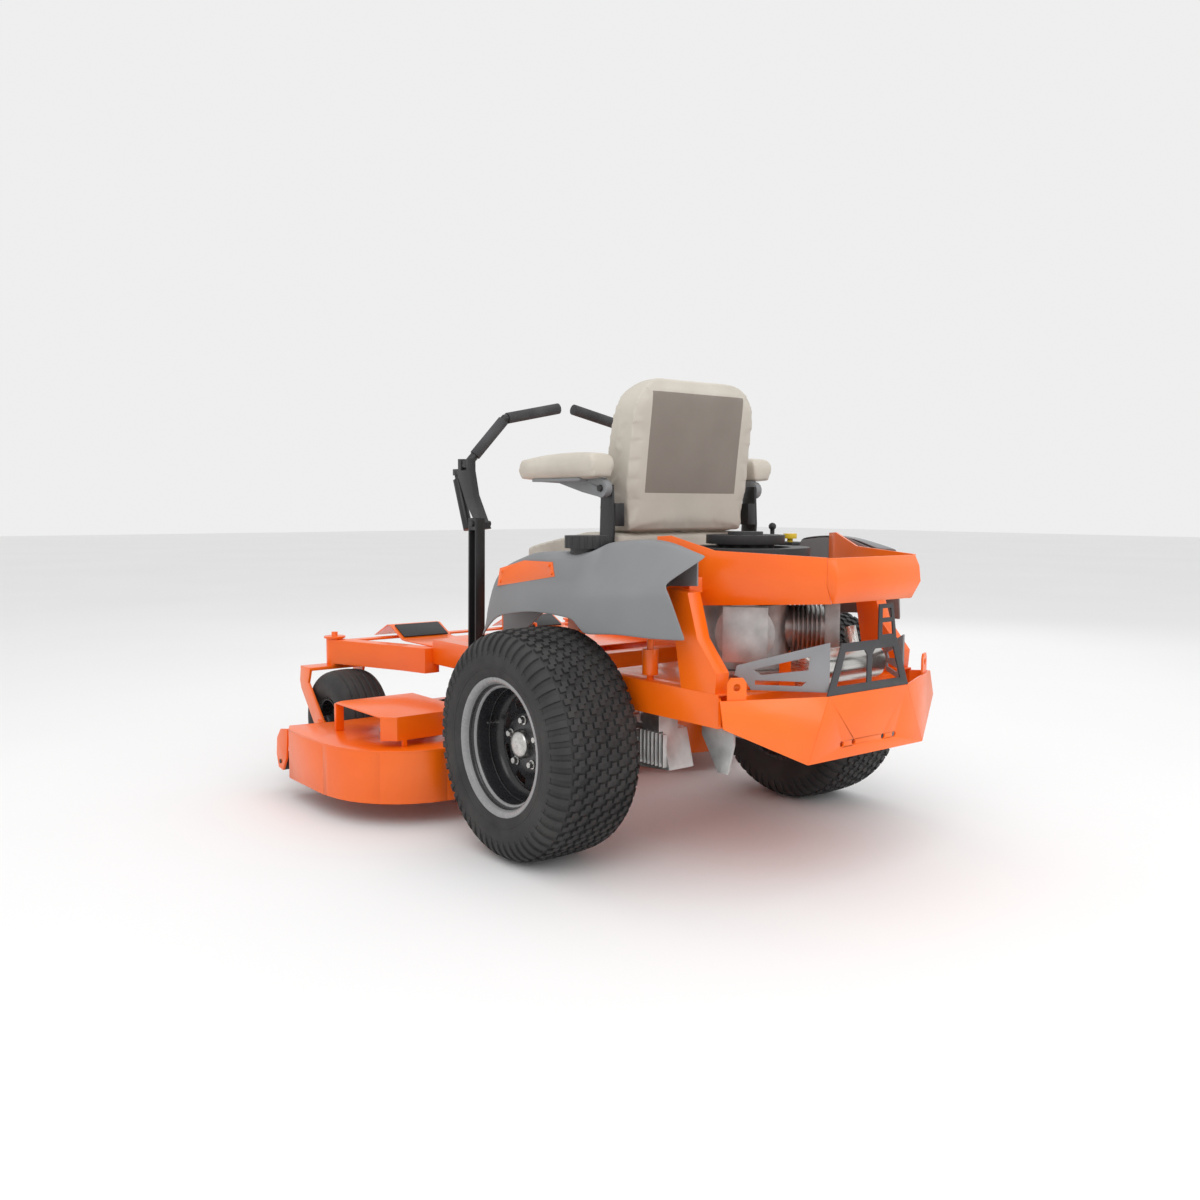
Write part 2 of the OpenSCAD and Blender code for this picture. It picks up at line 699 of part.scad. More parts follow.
// Seat foam and cover, as plain solids
module seat_cushion() {
  color(beige) intersection() {
    side_plate([[-2, 706], [20, 700], [400, 700], [428, 712], [430, seat_top - 56], [400, seat_top - 44],
                [262, seat_top - 20], [140, seat_top], [-2, seat_top]], -seat_half, 2 * seat_half);
    linear_extrude(1000) polygon(concat([[-10, -205], [-10, 205]], arc([40, seat_half - 50], 50, 180, 90, 5),
      arc([372, seat_half - 60], 60, 90, 0, 6), arc([372, 60 - seat_half], 60, 0, -90, 6),
      arc([40, 50 - seat_half], 50, -90, -180, 5)));
  }
}
back_wide = 222;
module seat_back() {
  z0 = seat_top + gap;
  color(beige) intersection() {
    side_plate([[-6, z0], [-12, 860], [-26, 980], [-50, back_top - 30], [-42, back_top - 6], [-20, back_top],
                [10, back_top - 8], [34, back_top - 40], [60, 1040], [84, 920], [112, 840], [112, z0]],
               -back_wide, 2 * back_wide);
    translate([-200, 0, 0]) rotate([90, 0, 90]) linear_extrude(400)
      polygon(concat([[-205, z0]], arc([-back_wide + 40, 900], 40, 180, 180, 1),
        arc([-back_wide + 110, back_top - 110], 108, 175, 90, 8),
        arc([back_wide - 110, back_top - 110], 108, 90, 5, 8), [[back_wide, 900], [205, z0]]));
  }
}

// Steel side plates of the seat, its slide rails, and the armrest pins
module seat_brackets() {
  color(black) {
    both_sides() {
      block([30, 150, pan_z + gap], [390, 186, 699.5]);
      side_plate([[-6, 692], [70, 692], [70, 699.5], [44, 699.5], [40, 800], [36, arm_pivot[1] + 9],
                  [-8, arm_pivot[1] + 9], [-14, 800]],
                 seat_half + 1, 7);
      block([0, 186, 692], [60, seat_half + 1, 699.5]);
      axle(arm_pivot[0], arm_pivot[1], seat_half + 8, seat_half + 34, arm_pin_r);
      block([-14, back_wide + gap, 800], [30, seat_half + 1, 858]);
    }
  }
}
module armrest_arm() {
  inner = seat_half + 8 + gap;
  color([0.45, 0.45, 0.44]) {
    difference() {
      side_plate(concat(arc(arm_pivot, 24, 90, 300, 8), [[90, 886], [190, 910], [270, 914],
        [270, arm_z - gap], [12, arm_z - gap]]), inner, 20);
      axle(arm_pivot[0], arm_pivot[1], 0, 400, arm_pin_r + fit);
    }
    block([60, inner + 20, arm_z - 8], [270, arm_y + 24, arm_z - gap]);
  }
}
module armrest_arm_left() { armrest_arm(); }
module armrest_arm_right() { mirror([0, 1, 0]) armrest_arm(); }
module armrest_pad() {
  w = 74;
  color(beige) intersection() {
    side_plate([[-8, arm_z], [318, arm_z], [326, arm_z + 16], [310, arm_z + 50], [150, arm_z + 63],
                [0, arm_z + 60], [-12, arm_z + 40]], arm_y - w / 2, w);
    translate([-100, 0, 0]) rotate([90, 0, 90]) linear_extrude(600)
      polygon(concat([[arm_y + w / 2, arm_z + 30], [arm_y + w / 2 - 8, arm_z], [arm_y - w / 2 + 8, arm_z],
        [arm_y - w / 2, arm_z + 30]], arc([arm_y - w / 2 + 20, arm_z + 43], 20, 180, 90, 4),
        arc([arm_y + w / 2 - 20, arm_z + 43], 20, 90, 0, 4)));
  }
}
module armrest_pad_left() { armrest_pad(); }
module armrest_pad_right() { mirror([0, 1, 0]) armrest_pad(); }

// Drive tyre: a hollow carcass with round shoulders
module rear_tyre() {
  h = tyre_w / 2;
  color(rubber) turned(0, tyre_y, wheel_z, concat(
    [[bead_r + gap, -flange_y + flange_t], [rim_r + 2, -flange_y + flange_t - 1], [rim_r + 2, -flange_y - 3]],
    [[rim_r + 20, -h + 3], [rim_r + 45, -h], [tyre_r - 40, -h + 3], [tyre_r - 18, -h + 14],
     [tyre_r - 6, -h + 32], [tyre_r, -h + 62], [tyre_r, h - 62], [tyre_r - 6, h - 32],
     [tyre_r - 18, h - 14], [tyre_r - 40, h - 3], [rim_r + 45, h], [rim_r + 20, h - 3]],
    [[rim_r + 2, flange_y + 3], [rim_r + 2, flange_y - flange_t + 1], [bead_r + gap, flange_y - flange_t],
     [bead_r + gap, flange_y - 26], [rim_r + 30, h - 14], [tyre_r - 34, h - 24], [tyre_r - 16, 0],
     [tyre_r - 34, -h + 24], [rim_r + 30, -h + 14], [bead_r + gap, -flange_y + 26]]));
}
module rear_tyre_left() { rear_tyre(); }
module rear_tyre_right() { mirror([0, 1, 0]) rear_tyre(); }

// Drive rim: a dished steel rim with a slotted disc, a hub and five nuts
module rear_rim() {
  color([0.16, 0.16, 0.17]) {
    difference() {
      union() {
        turned(0, tyre_y, wheel_z, [[bead_r, -flange_y],
          [rim_r, -flange_y], [rim_r, -flange_y + flange_t - 2],
          [bead_r, -flange_y + flange_t], [bead_r, flange_y - flange_t], [rim_r, flange_y - flange_t + 2],
          [rim_r, flange_y], [bead_r - 4, flange_y - 3],
          [bead_r - 4, flange_y - 40], [bead_r - 22, disc_y + 14],
          [bead_r - 22, disc_y], [bead_r - 10, disc_y - 8], [bead_r - 4, -flange_y + 12]]);
        turned(0, tyre_y, wheel_z, [[0, disc_y], [bead_r - 22 + eps, disc_y],
          [bead_r - 22 + eps, disc_y + disc_t],
          [78, disc_y + disc_t + 10], [0, disc_y + disc_t + 10]]);
      }
      for (i = [0:7]) translate([0, 0, wheel_z]) rotate([0, i * 45, 0])
        axle(106, 0, tyre_y, tyre_y + 60, 15);
      axle(0, wheel_z, 0, tyre_y + disc_y + disc_t + 40, axle_r + fit);
    }
    difference() {
      axle(0, wheel_z, tyre_y - hub_back, tyre_y + disc_y - eps, hub_r);
      axle(0, wheel_z, 0, tyre_y + disc_y + 20, axle_r + fit);
    }
  }
  color(silver) {
    axle(0, wheel_z, tyre_y + disc_y + disc_t + 10, tyre_y + disc_y + disc_t + 30, 38);
    for (i = [0:4]) translate([0, 0, wheel_z]) rotate([0, i * 72, 0])
      axle(57, 0, tyre_y + disc_y + disc_t + 10, tyre_y + disc_y + disc_t + 24, 10);
  }
}
module rear_rim_left() { rear_rim(); }
module rear_rim_right() { mirror([0, 1, 0]) rear_rim(); }

// Caster fork: kingpin, crown, two arms and the axle bolt
module caster_fork() {
  inner = caster_w / 2 + arm_gap;
  crown_top = tube_low - gap;
  ax = caster_axle_x;
  color(orange) {
    translate([caster_x, caster_y, crown_top - crown_t]) cylinder(h = 100, r = kingpin_r);
    block([caster_x - 20, caster_y - inner - arm_t, crown_top - crown_t],
          [caster_x + 52, caster_y + inner + arm_t, crown_top]);
    for (y = [caster_y + inner, caster_y - inner - arm_t]) difference() {
      side_plate([[caster_x - 20, crown_top - crown_t], [caster_x + 52, crown_top - crown_t],
        [caster_x + 58, 286], [caster_x + 50, 262], [ax + 34, caster_z - 18], [ax + 14, caster_z - 26],
        [ax - 18, caster_z - 20], [ax - 22, caster_z + 8],
        [ax - 4, caster_z + 26], [caster_x - 4, 284]], y, arm_t);
      axle(ax, caster_z, y - 1, y + arm_t + 1, caster_axle_r + fit);
    }
  }
  color(black) {
    translate([caster_x, caster_y, tube_top + gap]) cylinder(h = 6, r = 34);
    translate([caster_x, caster_y, crown_top + 90 - eps]) cylinder(h = 18, r = 10);
  }
  color(silver) {
    axle(ax, caster_z, caster_y - inner - arm_t - 8, caster_y + inner + arm_t + 8, caster_axle_r);
    for (y = [caster_y - inner - arm_t - 8, caster_y + inner + arm_t]) axle(ax, caster_z, y, y + 8, 15);
  }
}
module caster_fork_left() { caster_fork(); }
module caster_fork_right() { mirror([0, 1, 0]) caster_fork(); }
module caster_tyre() {
  h = caster_w / 2;
  color(rubber) turned(caster_axle_x, caster_y, caster_z, [[caster_rim_r + gap, -h + 14],
    [caster_rim_r + 16, -h + 4], [caster_r - 50, -h], [caster_r - 22, -h + 6], [caster_r - 6, -h + 26],
    [caster_r, -h + 54], [caster_r, h - 54], [caster_r - 6, h - 26], [caster_r - 22, h - 6],
    [caster_r - 50, h], [caster_rim_r + 16, h - 4], [caster_rim_r + gap, h - 14]]);
}
module caster_tyre_left() { caster_tyre(); }
module caster_tyre_right() { mirror([0, 1, 0]) caster_tyre(); }
module caster_rim() {
  h = caster_w / 2;
  color(black) difference() {
    turned(caster_axle_x, caster_y, caster_z, [[caster_axle_r + fit, -h + 2], [26, -h + 2], [26, -20],
      [caster_rim_r - 8, -14], [caster_rim_r - 8, -h + 12], [caster_rim_r, -h + 12], [caster_rim_r, h - 12],
      [caster_rim_r - 8, h - 12], [caster_rim_r - 8, 14],
      [26, 20], [26, h - 2], [caster_axle_r + fit, h - 2]]);
  }
}
module caster_rim_left() { caster_rim(); }
module caster_rim_right() { mirror([0, 1, 0]) caster_rim(); }

// Half of the deck's outline on the +Y side, from the rear to the front, set in by d
function deck_half_line(d, side) = concat(
  [[530 + d, 90]],
  arc([side_spindle_x, side_spindle_y], arc_r - d, 225, 95, 13),
  [[side_spindle_x, side - d], [corner_x, side - d], [905 - d, side - 24 - d], [896 - d, side - 72],
   [front_x - d, 604], [front_x - d, front_y], [1000 - d, 214 - d], [nose_x - d, nose_y - d]]);
function deck_line(d) = let (l = deck_half_line(d, deck_half))
  concat(l, [for (i = [len(l) - 1:-1:0]) [l[i][0], -l[i][1]]]);
chute_x0 = 470;
chute_x1 = 840;
// Width of the seams between the welded plates
seam = 0.1;
// Upright seams of the skirt on the +Y side, each as a line from [x, y] to [x, y]
skirt_seams = [[[500, 90], [600, 90]], [[380, front_y], [900, front_y]], [[985, 214], [1060, 214]],
               [[985, nose_y], [1060, nose_y]], [[850, deck_half - 82], [920, deck_half - 82]],
               [[side_spindle_x, deck_half - 62], [side_spindle_x, deck_half + 8]],
               [[corner_x, deck_half - 62], [corner_x, deck_half + 8]]];
module skirt_cuts() {
  plate_low = deck_top - deck_t;
  translate([0, 0, plate_low - seam]) linear_extrude(seam) polygon(deck_line(-1));
  both_sides() {
    for (l = skirt_seams)
      block([l[0][0], l[0][1], deck_low - 1], [l[1][0] + seam, l[1][1] + seam, plate_low - seam / 2]);
    for (a = [134.5, 174]) translate([side_spindle_x, side_spindle_y, 0]) rotate([0, 0, a])
      block([arc_r - 22, 0, deck_low - 1], [arc_r + 10, seam, plate_low - seam / 2]);
    block([380, front_y, plate_low - 1], [900, front_y + seam, deck_top + 1]);
  }
}
spindles = [[side_spindle_x, side_spindle_y], [mid_spindle_x, 0], [side_spindle_x, -side_spindle_y]];
module deck_shell() {
  color(orange) {
    difference() {
      translate([0, 0, deck_low]) linear_extrude(deck_top - deck_low) polygon(deck_line(0));
      translate([0, 0, deck_low - 1]) linear_extrude(deck_top - deck_low - deck_t + 1)
        polygon(deck_line(deck_t));
      block([chute_x0, -deck_half - 20, deck_low - 1], [chute_x1, -deck_half + 60, deck_top - deck_t]);
      for (s = spindles) translate([s[0], s[1], 100]) cylinder(h = 200, r = 40 + fit);
      skirt_cuts();
    }
    for (x = [chute_x0 - 8, chute_x1 + gap]) difference() {
      cross_plate([[-deck_half - 26, chute_pin_z - 12], [-deck_half - seam, chute_pin_z - 12],
                   [-deck_half - seam, deck_top + seam], [-deck_half + 30, deck_top + seam],
                   [-deck_half + 30, deck_top + 6], [-deck_half - 8, chute_pin_z + 12],
                   [-deck_half - 26, chute_pin_z + 8]], x, 8 - gap);
      translate([x - 1, -deck_half - 14, chute_pin_z]) rotate([0, 90, 0])
        cylinder(h = 10, r = chute_pin_r + fit);
    }
    both_sides() {
      for (p = [rear_hanger_x, front_hanger_x]) {
        block([p - 22, hanger_y - 18, deck_top + seam], [p + 22, hanger_y + 18, deck_top + 10]);
        translate([p, hanger_y, deck_top + 9])
          cylinder(h = rail_z + 11 - deck_travel - deck_top, r = hanger_r);
      }
      for (y = [roller_y - 28, roller_y + 22]) difference() {
        side_plate([[893, 198], [944, 190], [972, 160], [978, 110], [964, 72], [932, 68], [904, 110]], y, 6);
        axle(roller_x, roller_z, y - 1, y + 7, roller_pin_r + fit);
      }
    }
  }
}
roller_x = 948;
roller_y = deck_half - 40;
roller_z = 92;
roller_r = 27;
roller_pin_r = 6;
module roller() {
  color(black) {
    axle(roller_x, roller_z, roller_y - 30, roller_y + 30, roller_pin_r);
    axle(roller_x, roller_z, roller_y - 21, roller_y + 21, roller_r);
  }
}
module roller_left() { roller(); }
module roller_right() { mirror([0, 1, 0]) roller(); }

// Covers over the outer pulleys, open at the outer side
module belt_covers() {
  low = deck_top + 18;
  in = side_spindle_y - 87;
  out = side_spindle_y + 167;
  color(orange) both_sides() {
    translate([0, 0, cover_top - cover_t]) linear_extrude(cover_t)
      polygon([[440, in], [440, out - 34], [470, out], [745, out], [760, out - 24], [760, in]]);
    translate([0, 0, low]) linear_extrude(cover_top - cover_t - low)
      polygon([[440, in], [440, out - 34], [470, out], [475, out - 4], [444, out - 36], [444, in]]);
    block([745, out - 24, deck_top + seam], [757, out, cover_top - cover_t]);
    block([440, in + 20, deck_top + seam], [452, in + 32, low]);
    block([440, out - 64, deck_top + seam], [452, out - 52, low]);
    block([748, in, deck_top + seam], [760, in + 12, cover_top - cover_t]);
  }
}

// Belt around the three pulleys, as one flat loop
pulley_r = 68;
module deck_belt() {
  color(rubber) translate([0, 0, belt_z + 3]) linear_extrude(10) difference() {
    hull() for (s = spindles) translate(s) circle(r = pulley_r + 9, $fn = 64);
    hull() for (s = spindles) translate(s) circle(r = pulley_r + 0.5, $fn = 64);
  }
}
module spindle_housings() {
  color(silver) for (s = spindles) translate([s[0], s[1], 0]) difference() {
    union() {
      translate([0, 0, 128]) cylinder(h = 104, r = 40);
      difference() {
        translate([0, 0, deck_top]) cylinder(h = 9, r = 84);
        translate([0, 0, deck_top - 1]) cylinder(h = 12, r = 39);
      }
    }
    translate([0, 0, 100]) cylinder(h = 200, r = shaft_r + fit);
  }
}

// Spindle shaft with its pulley and blade; turn sets the blade's angle at rest
module spindle(at, turn) {
  blade_z = 88;
  color(silver) translate([at[0], at[1], 0]) {
    translate([0, 0, blade_z - 12]) cylinder(h = 190, r = shaft_r);
    translate([0, 0, blade_z - 14]) cylinder(h = 14, r = 20);
    translate([0, 0, blade_z + 6]) cylinder(h = 30, r = 24);
    rotate_extrude() polygon([[shaft_r - eps, belt_z - 6],
      [pulley_r + 8, belt_z - 6], [pulley_r + 8, belt_z - 3],
      [pulley_r, belt_z + 3], [pulley_r, belt_z + 13], [pulley_r + 8, belt_z + 19],
      [pulley_r + 8, belt_z + 22], [shaft_r - eps, belt_z + 22]]);
    rotate([0, 0, turn]) {
      block([-blade_half + 4, -31, blade_z], [blade_half - 4, 31, blade_z + 6]);
      for (a = [0, 180]) rotate([0, 0, a]) translate([0, 0, blade_z + 6]) rotate([90, 0, 90])
        translate([0, 0, blade_half - 84]) linear_extrude(80)
          polygon([[-31, 0], [-14, 0], [-26, 20], [-31, 20]]);
    }
  }
}
module spindle_left() { spindle(spindles[0], 20); }
module spindle_centre() { spindle(spindles[1], 20); }
module spindle_right() { spindle(spindles[2], 20); }

// Hinged discharge chute on the right of the deck
chute_pin_z = 214;
chute_pin_r = 8;
chute_out = 250;
module discharge_chute() {
  y0 = -deck_half - 8;
  y1 = -deck_half - chute_out;
  color([0.1, 0.1, 0.1]) {
    translate([chute_x0 - 8, y0 - 6, chute_pin_z]) rotate([0, 90, 0])
      cylinder(h = chute_x1 - chute_x0 + 16, r = chute_pin_r);
    translate([chute_x0, 0, 0]) rotate([90, 0, 90]) linear_extrude(chute_x1 - chute_x0)
      polygon([[y0 - 4, chute_pin_z - 3], [y0 - 4, chute_pin_z + 5], [y0 - 60, chute_pin_z],
               [y1, 108], [y1, 98], [y0 - 58, chute_pin_z - 8]]);
    for (x = [chute_x0, chute_x1 - 5])
      cross_plate([[y0 - 16, chute_pin_z - 7], [y1, 104], [y1, 78], [y0 - 16, 86]],
                                                 x, 5);
  }
}

// Foot pedal that raises the deck, on its cross pin
pedal_pivot = [900, 440];
pedal_y = -110;
module lift_pedal() {
  color(black) {
    axle(pedal_pivot[0], pedal_pivot[1], pedal_y - 30, pedal_y + 30, arm_pin_r);
    side_plate([[888, 430], [912, 428], [1010, 490], [1040, 546], [1026, 552], [996, 500], [900, 452]],
               pedal_y - 4, 8);
    side_plate([[1010, 530], [1050, 560], [1046, 566], [1006, 536]], pedal_y - 26, 52);
  }
}

side_rails();
crossmembers();
front_beams();
rear_bumper();
bumper_wings();
uprights();
guard_arms();
guard_rear_cap();
rear_braces();
tail_plate();
fender_left();
fender_right();
footplate();
foot_pads();
lever_posts();
engine_block();
engine_shroud();
muffler();
transaxles();
side_badges();
control_panel();
engine_screen();
fuel_cap();
seat_platform();
seat_cushion();
seat_back();
seat_brackets();
armrest_pad_left();
armrest_pad_right();
armrest_arm_left();
armrest_arm_right();
lever_hub_left();
lever_hub_right();
lap_bar_left();
lap_bar_right();
lever_grip_left();
lever_grip_right();
rear_tyre_left();
rear_tyre_right();
rear_rim_left();
rear_rim_right();
caster_fork_left();
caster_fork_right();
caster_tyre_left();
caster_tyre_right();
caster_rim_left();
caster_rim_right();
deck_shell();
belt_covers();
deck_belt();
spindle_housings();
discharge_chute();
spindle_left();
spindle_centre();
spindle_right();
lift_pedal();
roller_left();
roller_right();
throttle_lever();
pto_knob();
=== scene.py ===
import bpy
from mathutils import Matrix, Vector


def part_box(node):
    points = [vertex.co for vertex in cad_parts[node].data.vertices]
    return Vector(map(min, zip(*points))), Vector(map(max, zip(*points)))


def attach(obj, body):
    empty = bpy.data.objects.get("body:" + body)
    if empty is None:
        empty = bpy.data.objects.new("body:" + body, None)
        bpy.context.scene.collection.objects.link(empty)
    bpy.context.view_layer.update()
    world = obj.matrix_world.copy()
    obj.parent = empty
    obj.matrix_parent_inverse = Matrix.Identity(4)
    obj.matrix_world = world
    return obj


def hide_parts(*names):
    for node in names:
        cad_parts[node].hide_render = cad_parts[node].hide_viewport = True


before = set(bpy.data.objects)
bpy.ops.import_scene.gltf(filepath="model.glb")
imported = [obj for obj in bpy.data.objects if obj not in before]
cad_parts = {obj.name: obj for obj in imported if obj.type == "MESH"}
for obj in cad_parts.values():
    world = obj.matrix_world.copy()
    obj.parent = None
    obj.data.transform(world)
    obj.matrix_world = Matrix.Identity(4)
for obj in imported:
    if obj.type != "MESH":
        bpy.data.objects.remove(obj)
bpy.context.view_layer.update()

import math
import bmesh
import bpy
import numpy as np
from mathutils import Matrix, Vector

# Camera, floor and lights: a person's eye height behind the left drive wheel,
# over a flat pale floor in front of a bright even world, under four soft boxes.
eye = Vector((-2.1729, 1.9918, 0.8533))
yaw, pitch, roll = (math.radians(a) for a in (-38.094, -4.933, 0.146))
ahead = Vector((math.cos(yaw) * math.cos(pitch), math.sin(yaw) * math.cos(pitch), math.sin(pitch)))
right = Vector((math.sin(yaw), -math.cos(yaw), 0.0))
up = right.cross(ahead)
right, up = right * math.cos(roll) + up * math.sin(roll), up * math.cos(roll) - right * math.sin(roll)
camera = bpy.data.objects.new("camera", bpy.data.cameras.new("camera"))
camera.data.lens = 33.05
camera.data.clip_end = 60.0
turned = Matrix((right, up, -ahead)).transposed().to_4x4()
camera.matrix_world = Matrix.Translation(eye) @ turned
bpy.context.scene.collection.objects.link(camera)
bpy.context.scene.camera = camera


def soft_box(name, place, aim, size, power):
    """A square area light at place that faces aim."""
    lamp = bpy.data.objects.new(name, bpy.data.lights.new(name, "AREA"))
    lamp.data.size, lamp.data.energy = size, power
    lamp.location = place
    lamp.rotation_euler = (Vector(aim) - Vector(place)).to_track_quat("-Z", "Y").to_euler()
    bpy.context.scene.collection.objects.link(lamp)


middle = (0.2, 0.0, 0.5)
soft_box("key_box", (-2.4, 3.2, 4.2), middle, 3.2, 62)
soft_box("rear_box", (-4.2, -0.6, 2.6), middle, 2.6, 34)
soft_box("top_box", (0.4, 0.0, 5.0), middle, 4.5, 42)
soft_box("far_box", (2.5, -4.0, 2.8), middle, 3.5, 18)
world = bpy.data.worlds.new("studio")
world.use_nodes = True
world.node_tree.nodes["Background"].inputs["Color"].default_value = (1.0, 1.0, 1.0, 1.0)
world.node_tree.nodes["Background"].inputs["Strength"].default_value = 0.86
bpy.context.scene.world = world
bpy.context.scene.view_settings.view_transform = "Standard"


class Wire:
    """A socket that does arithmetic: each operator on it adds one Math node to its material."""

    def __init__(self, tree, socket):
        self.tree, self.socket = tree, socket

    def maths(self, operation, first, second):
        node = self.tree.nodes.new("ShaderNodeMath")
        node.operation = operation
        for entry, value in zip(node.inputs, (first, second)):
            if isinstance(value, Wire):
                self.tree.links.new(value.socket, entry)
            else:
                entry.default_value = value
        return Wire(self.tree, node.outputs[0])

    def __add__(self, other):
        return self.maths("ADD", self, other)

    def __sub__(self, other):
        return self.maths("SUBTRACT", self, other)

    def __rsub__(self, other):
        return self.maths("SUBTRACT", other, self)

    def __mul__(self, other):
        return self.maths("MULTIPLY", self, other)

    def __gt__(self, other):
        return self.maths("GREATER_THAN", self, other)

    __radd__ = __add__
    __rmul__ = __mul__


class Finish:
    """A Principled material; node() adds any other node, and feed() links what varies."""

    def __init__(self, name, colour, rough, metal=0.0, **fixed):
        self.material = bpy.data.materials.new(name)
        self.material.use_nodes = True
        self.tree = self.material.node_tree
        self.shader = self.tree.nodes["Principled BSDF"]
        values = {"Base Color": (*colour, 1.0), "Roughness": rough, "Metallic": metal, **fixed}
        for socket, value in values.items():
            self.shader.inputs[socket].default_value = value
        self.material.diffuse_color = (*colour, 1.0)
        self.place = self.node("ShaderNodeTexCoord", output="Object")

    def node(self, kind, settings=None, output=0, **sockets):
        node = self.tree.nodes.new(kind)
        for key, value in (settings or {}).items():
            if key == "stops":
                while len(node.color_ramp.elements) < len(value):
                    node.color_ramp.elements.new(0.5)
                for stop, (at, shade) in zip(node.color_ramp.elements, value):
                    stop.position, stop.color = at, (*shade, 1.0)
            else:
                setattr(node, key, value)
        for key, value in sockets.items():
            entry = node.inputs[key.replace("_", " ")]
            if isinstance(value, Wire):
                self.tree.links.new(value.socket, entry)
            else:
                entry.default_value = value
        return Wire(self.tree, node.outputs[output])

    def feed(self, **wires):
        for key, wire in wires.items():
            self.tree.links.new(wire.socket, self.shader.inputs[key.replace("_", " ")])
        return self

    def noise(self, scale, detail=3.0, stretch=None):
        """Noise from 0 to 1 on object coordinates, stretched along an axis where asked."""
        where = self.place
        if stretch:
            where = self.node("ShaderNodeMapping", Vector=where, Scale=stretch)
        return self.node("ShaderNodeTexNoise", Vector=where, Scale=scale, Detail=detail)

    def shades(self, mask, dark, light):
        """A colour between dark and light as the mask goes from 0.3 to 0.7."""
        return self.node("ShaderNodeValToRGB", {"stops": [(0.3, dark), (0.7, light)]}, Fac=mask)

    def bump(self, height, distance, strength=1.0):
        bumped = self.node("ShaderNodeBump", Height=height, Distance=distance, Strength=strength)
        return self.feed(Normal=bumped)


def surface(name, verts, faces, material, smooth=35.0, bevel=0.0, solid=0.0, levels=0, outward=True):
    """One object at the origin from arrays of points and faces, finished with live modifiers.

    smooth is the angle in degrees below which faces shade as one; bevel, solid and levels are
    the Bevel width, the Solidify thickness and the Subdivision levels.
    """
    mesh = bpy.data.meshes.new(name)
    mesh.from_pydata([tuple(v) for v in np.asarray(verts, float)], [], [tuple(f) for f in faces])
    if outward:
        soup = bmesh.new()
        soup.from_mesh(mesh)
        bmesh.ops.remove_doubles(soup, verts=soup.verts, dist=1e-6)
        bmesh.ops.recalc_face_normals(soup, faces=soup.faces)
        soup.to_mesh(mesh)
        soup.free()
    piece = bpy.data.objects.new(name, mesh)
    bpy.context.scene.collection.objects.link(piece)
    for coat in material if isinstance(material, (list, tuple)) else [material]:
        mesh.materials.append(coat.material)
    finish_edges(piece, smooth, bevel, solid, levels)
    return piece


def finish_edges(piece, smooth, bevel=0.0, solid=0.0, levels=0):
    """Shades a piece smooth below an angle and adds its wall, rounded edges and subdivision."""
    mesh = piece.data
    mesh.shade_smooth()
    mesh.set_sharp_from_angle(angle=math.radians(smooth))
    if solid:
        wall = piece.modifiers.new("wall", "SOLIDIFY")
        wall.thickness, wall.offset = solid, -1.0
    if bevel:
        edge = piece.modifiers.new("edge", "BEVEL")
        edge.width, edge.segments, edge.limit_method = bevel, 2, "ANGLE"
        edge.angle_limit, edge.harden_normals = math.radians(32), False
        edge.miter_outer = "MITER_ARC"
    if levels:
        round_off = piece.modifiers.new("round", "SUBSURF")
        round_off.levels = round_off.render_levels = levels


def mount_piece(piece, body, slot, *nodes):
    """Lets a piece ride on a body and hides the CAD nodes it stands for; slot is not used."""
    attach(piece, body)
    if nodes:
        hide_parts(*nodes)
    return piece


def coat_node(node, finish, bevel=0.0012):
    """Gives a CAD node its finish and slightly rounded edges."""
    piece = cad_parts[node]
    piece.data.materials.clear()
    piece.data.materials.append(finish.material)
    weld = piece.modifiers.new("weld", "WELD")
    weld.merge_threshold = 0.00002
    if bevel:
        edge = piece.modifiers.new("edge", "BEVEL")
        edge.width, edge.segments, edge.limit_method = bevel, 2, "ANGLE"
        edge.angle_limit = math.radians(38)
    smooth = piece.modifiers.new("shade", "EDGE_SPLIT")
    smooth.split_angle = math.radians(44)
    piece.data.shade_smooth()


# Floor: a matt pale sheet, large enough to fill the view behind the machine.
def grid_faces(rows, cols):
    """Quads of a rows x cols grid of points, as an array of four indices each."""
    corner = (np.arange(rows - 1)[:, None] * cols + np.arange(cols - 1)[None, :]).ravel()
    return np.stack([corner, corner + 1, corner + cols + 1, corner + cols], axis=1)


paper = Finish("pale floor", (0.86, 0.86, 0.86), 0.9)
paper.feed(Base_Color=paper.shades(paper.noise(0.6), (0.85, 0.85, 0.85), (0.87, 0.87, 0.87)))
span = np.linspace(-30.0, 30.0, 7)
flat = np.stack([*np.meshgrid(span, span, indexing="ij"), np.full((7, 7), -0.0004)], axis=-1)
floor_piece = surface("floor", flat.reshape(-1, 3), grid_faces(7, 7), paper, outward=False)

# Frame: welded steel tube and plate, powder coated orange as one piece after welding.
# The coat is glossy with a faint orange peel, and its shade and gloss vary slightly at random.
gloss = {"Coat Weight": 0.25, "Coat Roughness": 0.15}
orange = Finish("orange powder coat", (0.95, 0.145, 0.0), 0.32, **gloss)
cloudy = orange.noise(3.0, 4.0)
orange.feed(Base_Color=orange.shades(cloudy, (0.86, 0.120, 0.0), (1.0, 0.165, 0.002)))
orange.feed(Roughness=orange.noise(55.0) * 0.16 + 0.24)
orange.bump(orange.noise(700.0, 2.0), 0.00012, 0.35)
for name in ("side_rails", "crossmembers", "front_beams", "rear_bumper", "bumper_wings", "uprights",
             "guard_arms", "guard_rear_cap", "footplate", "side_badges", "caster_fork_left",
             "caster_fork_right", "deck_shell", "belt_covers"):
    coat_node(name, orange)

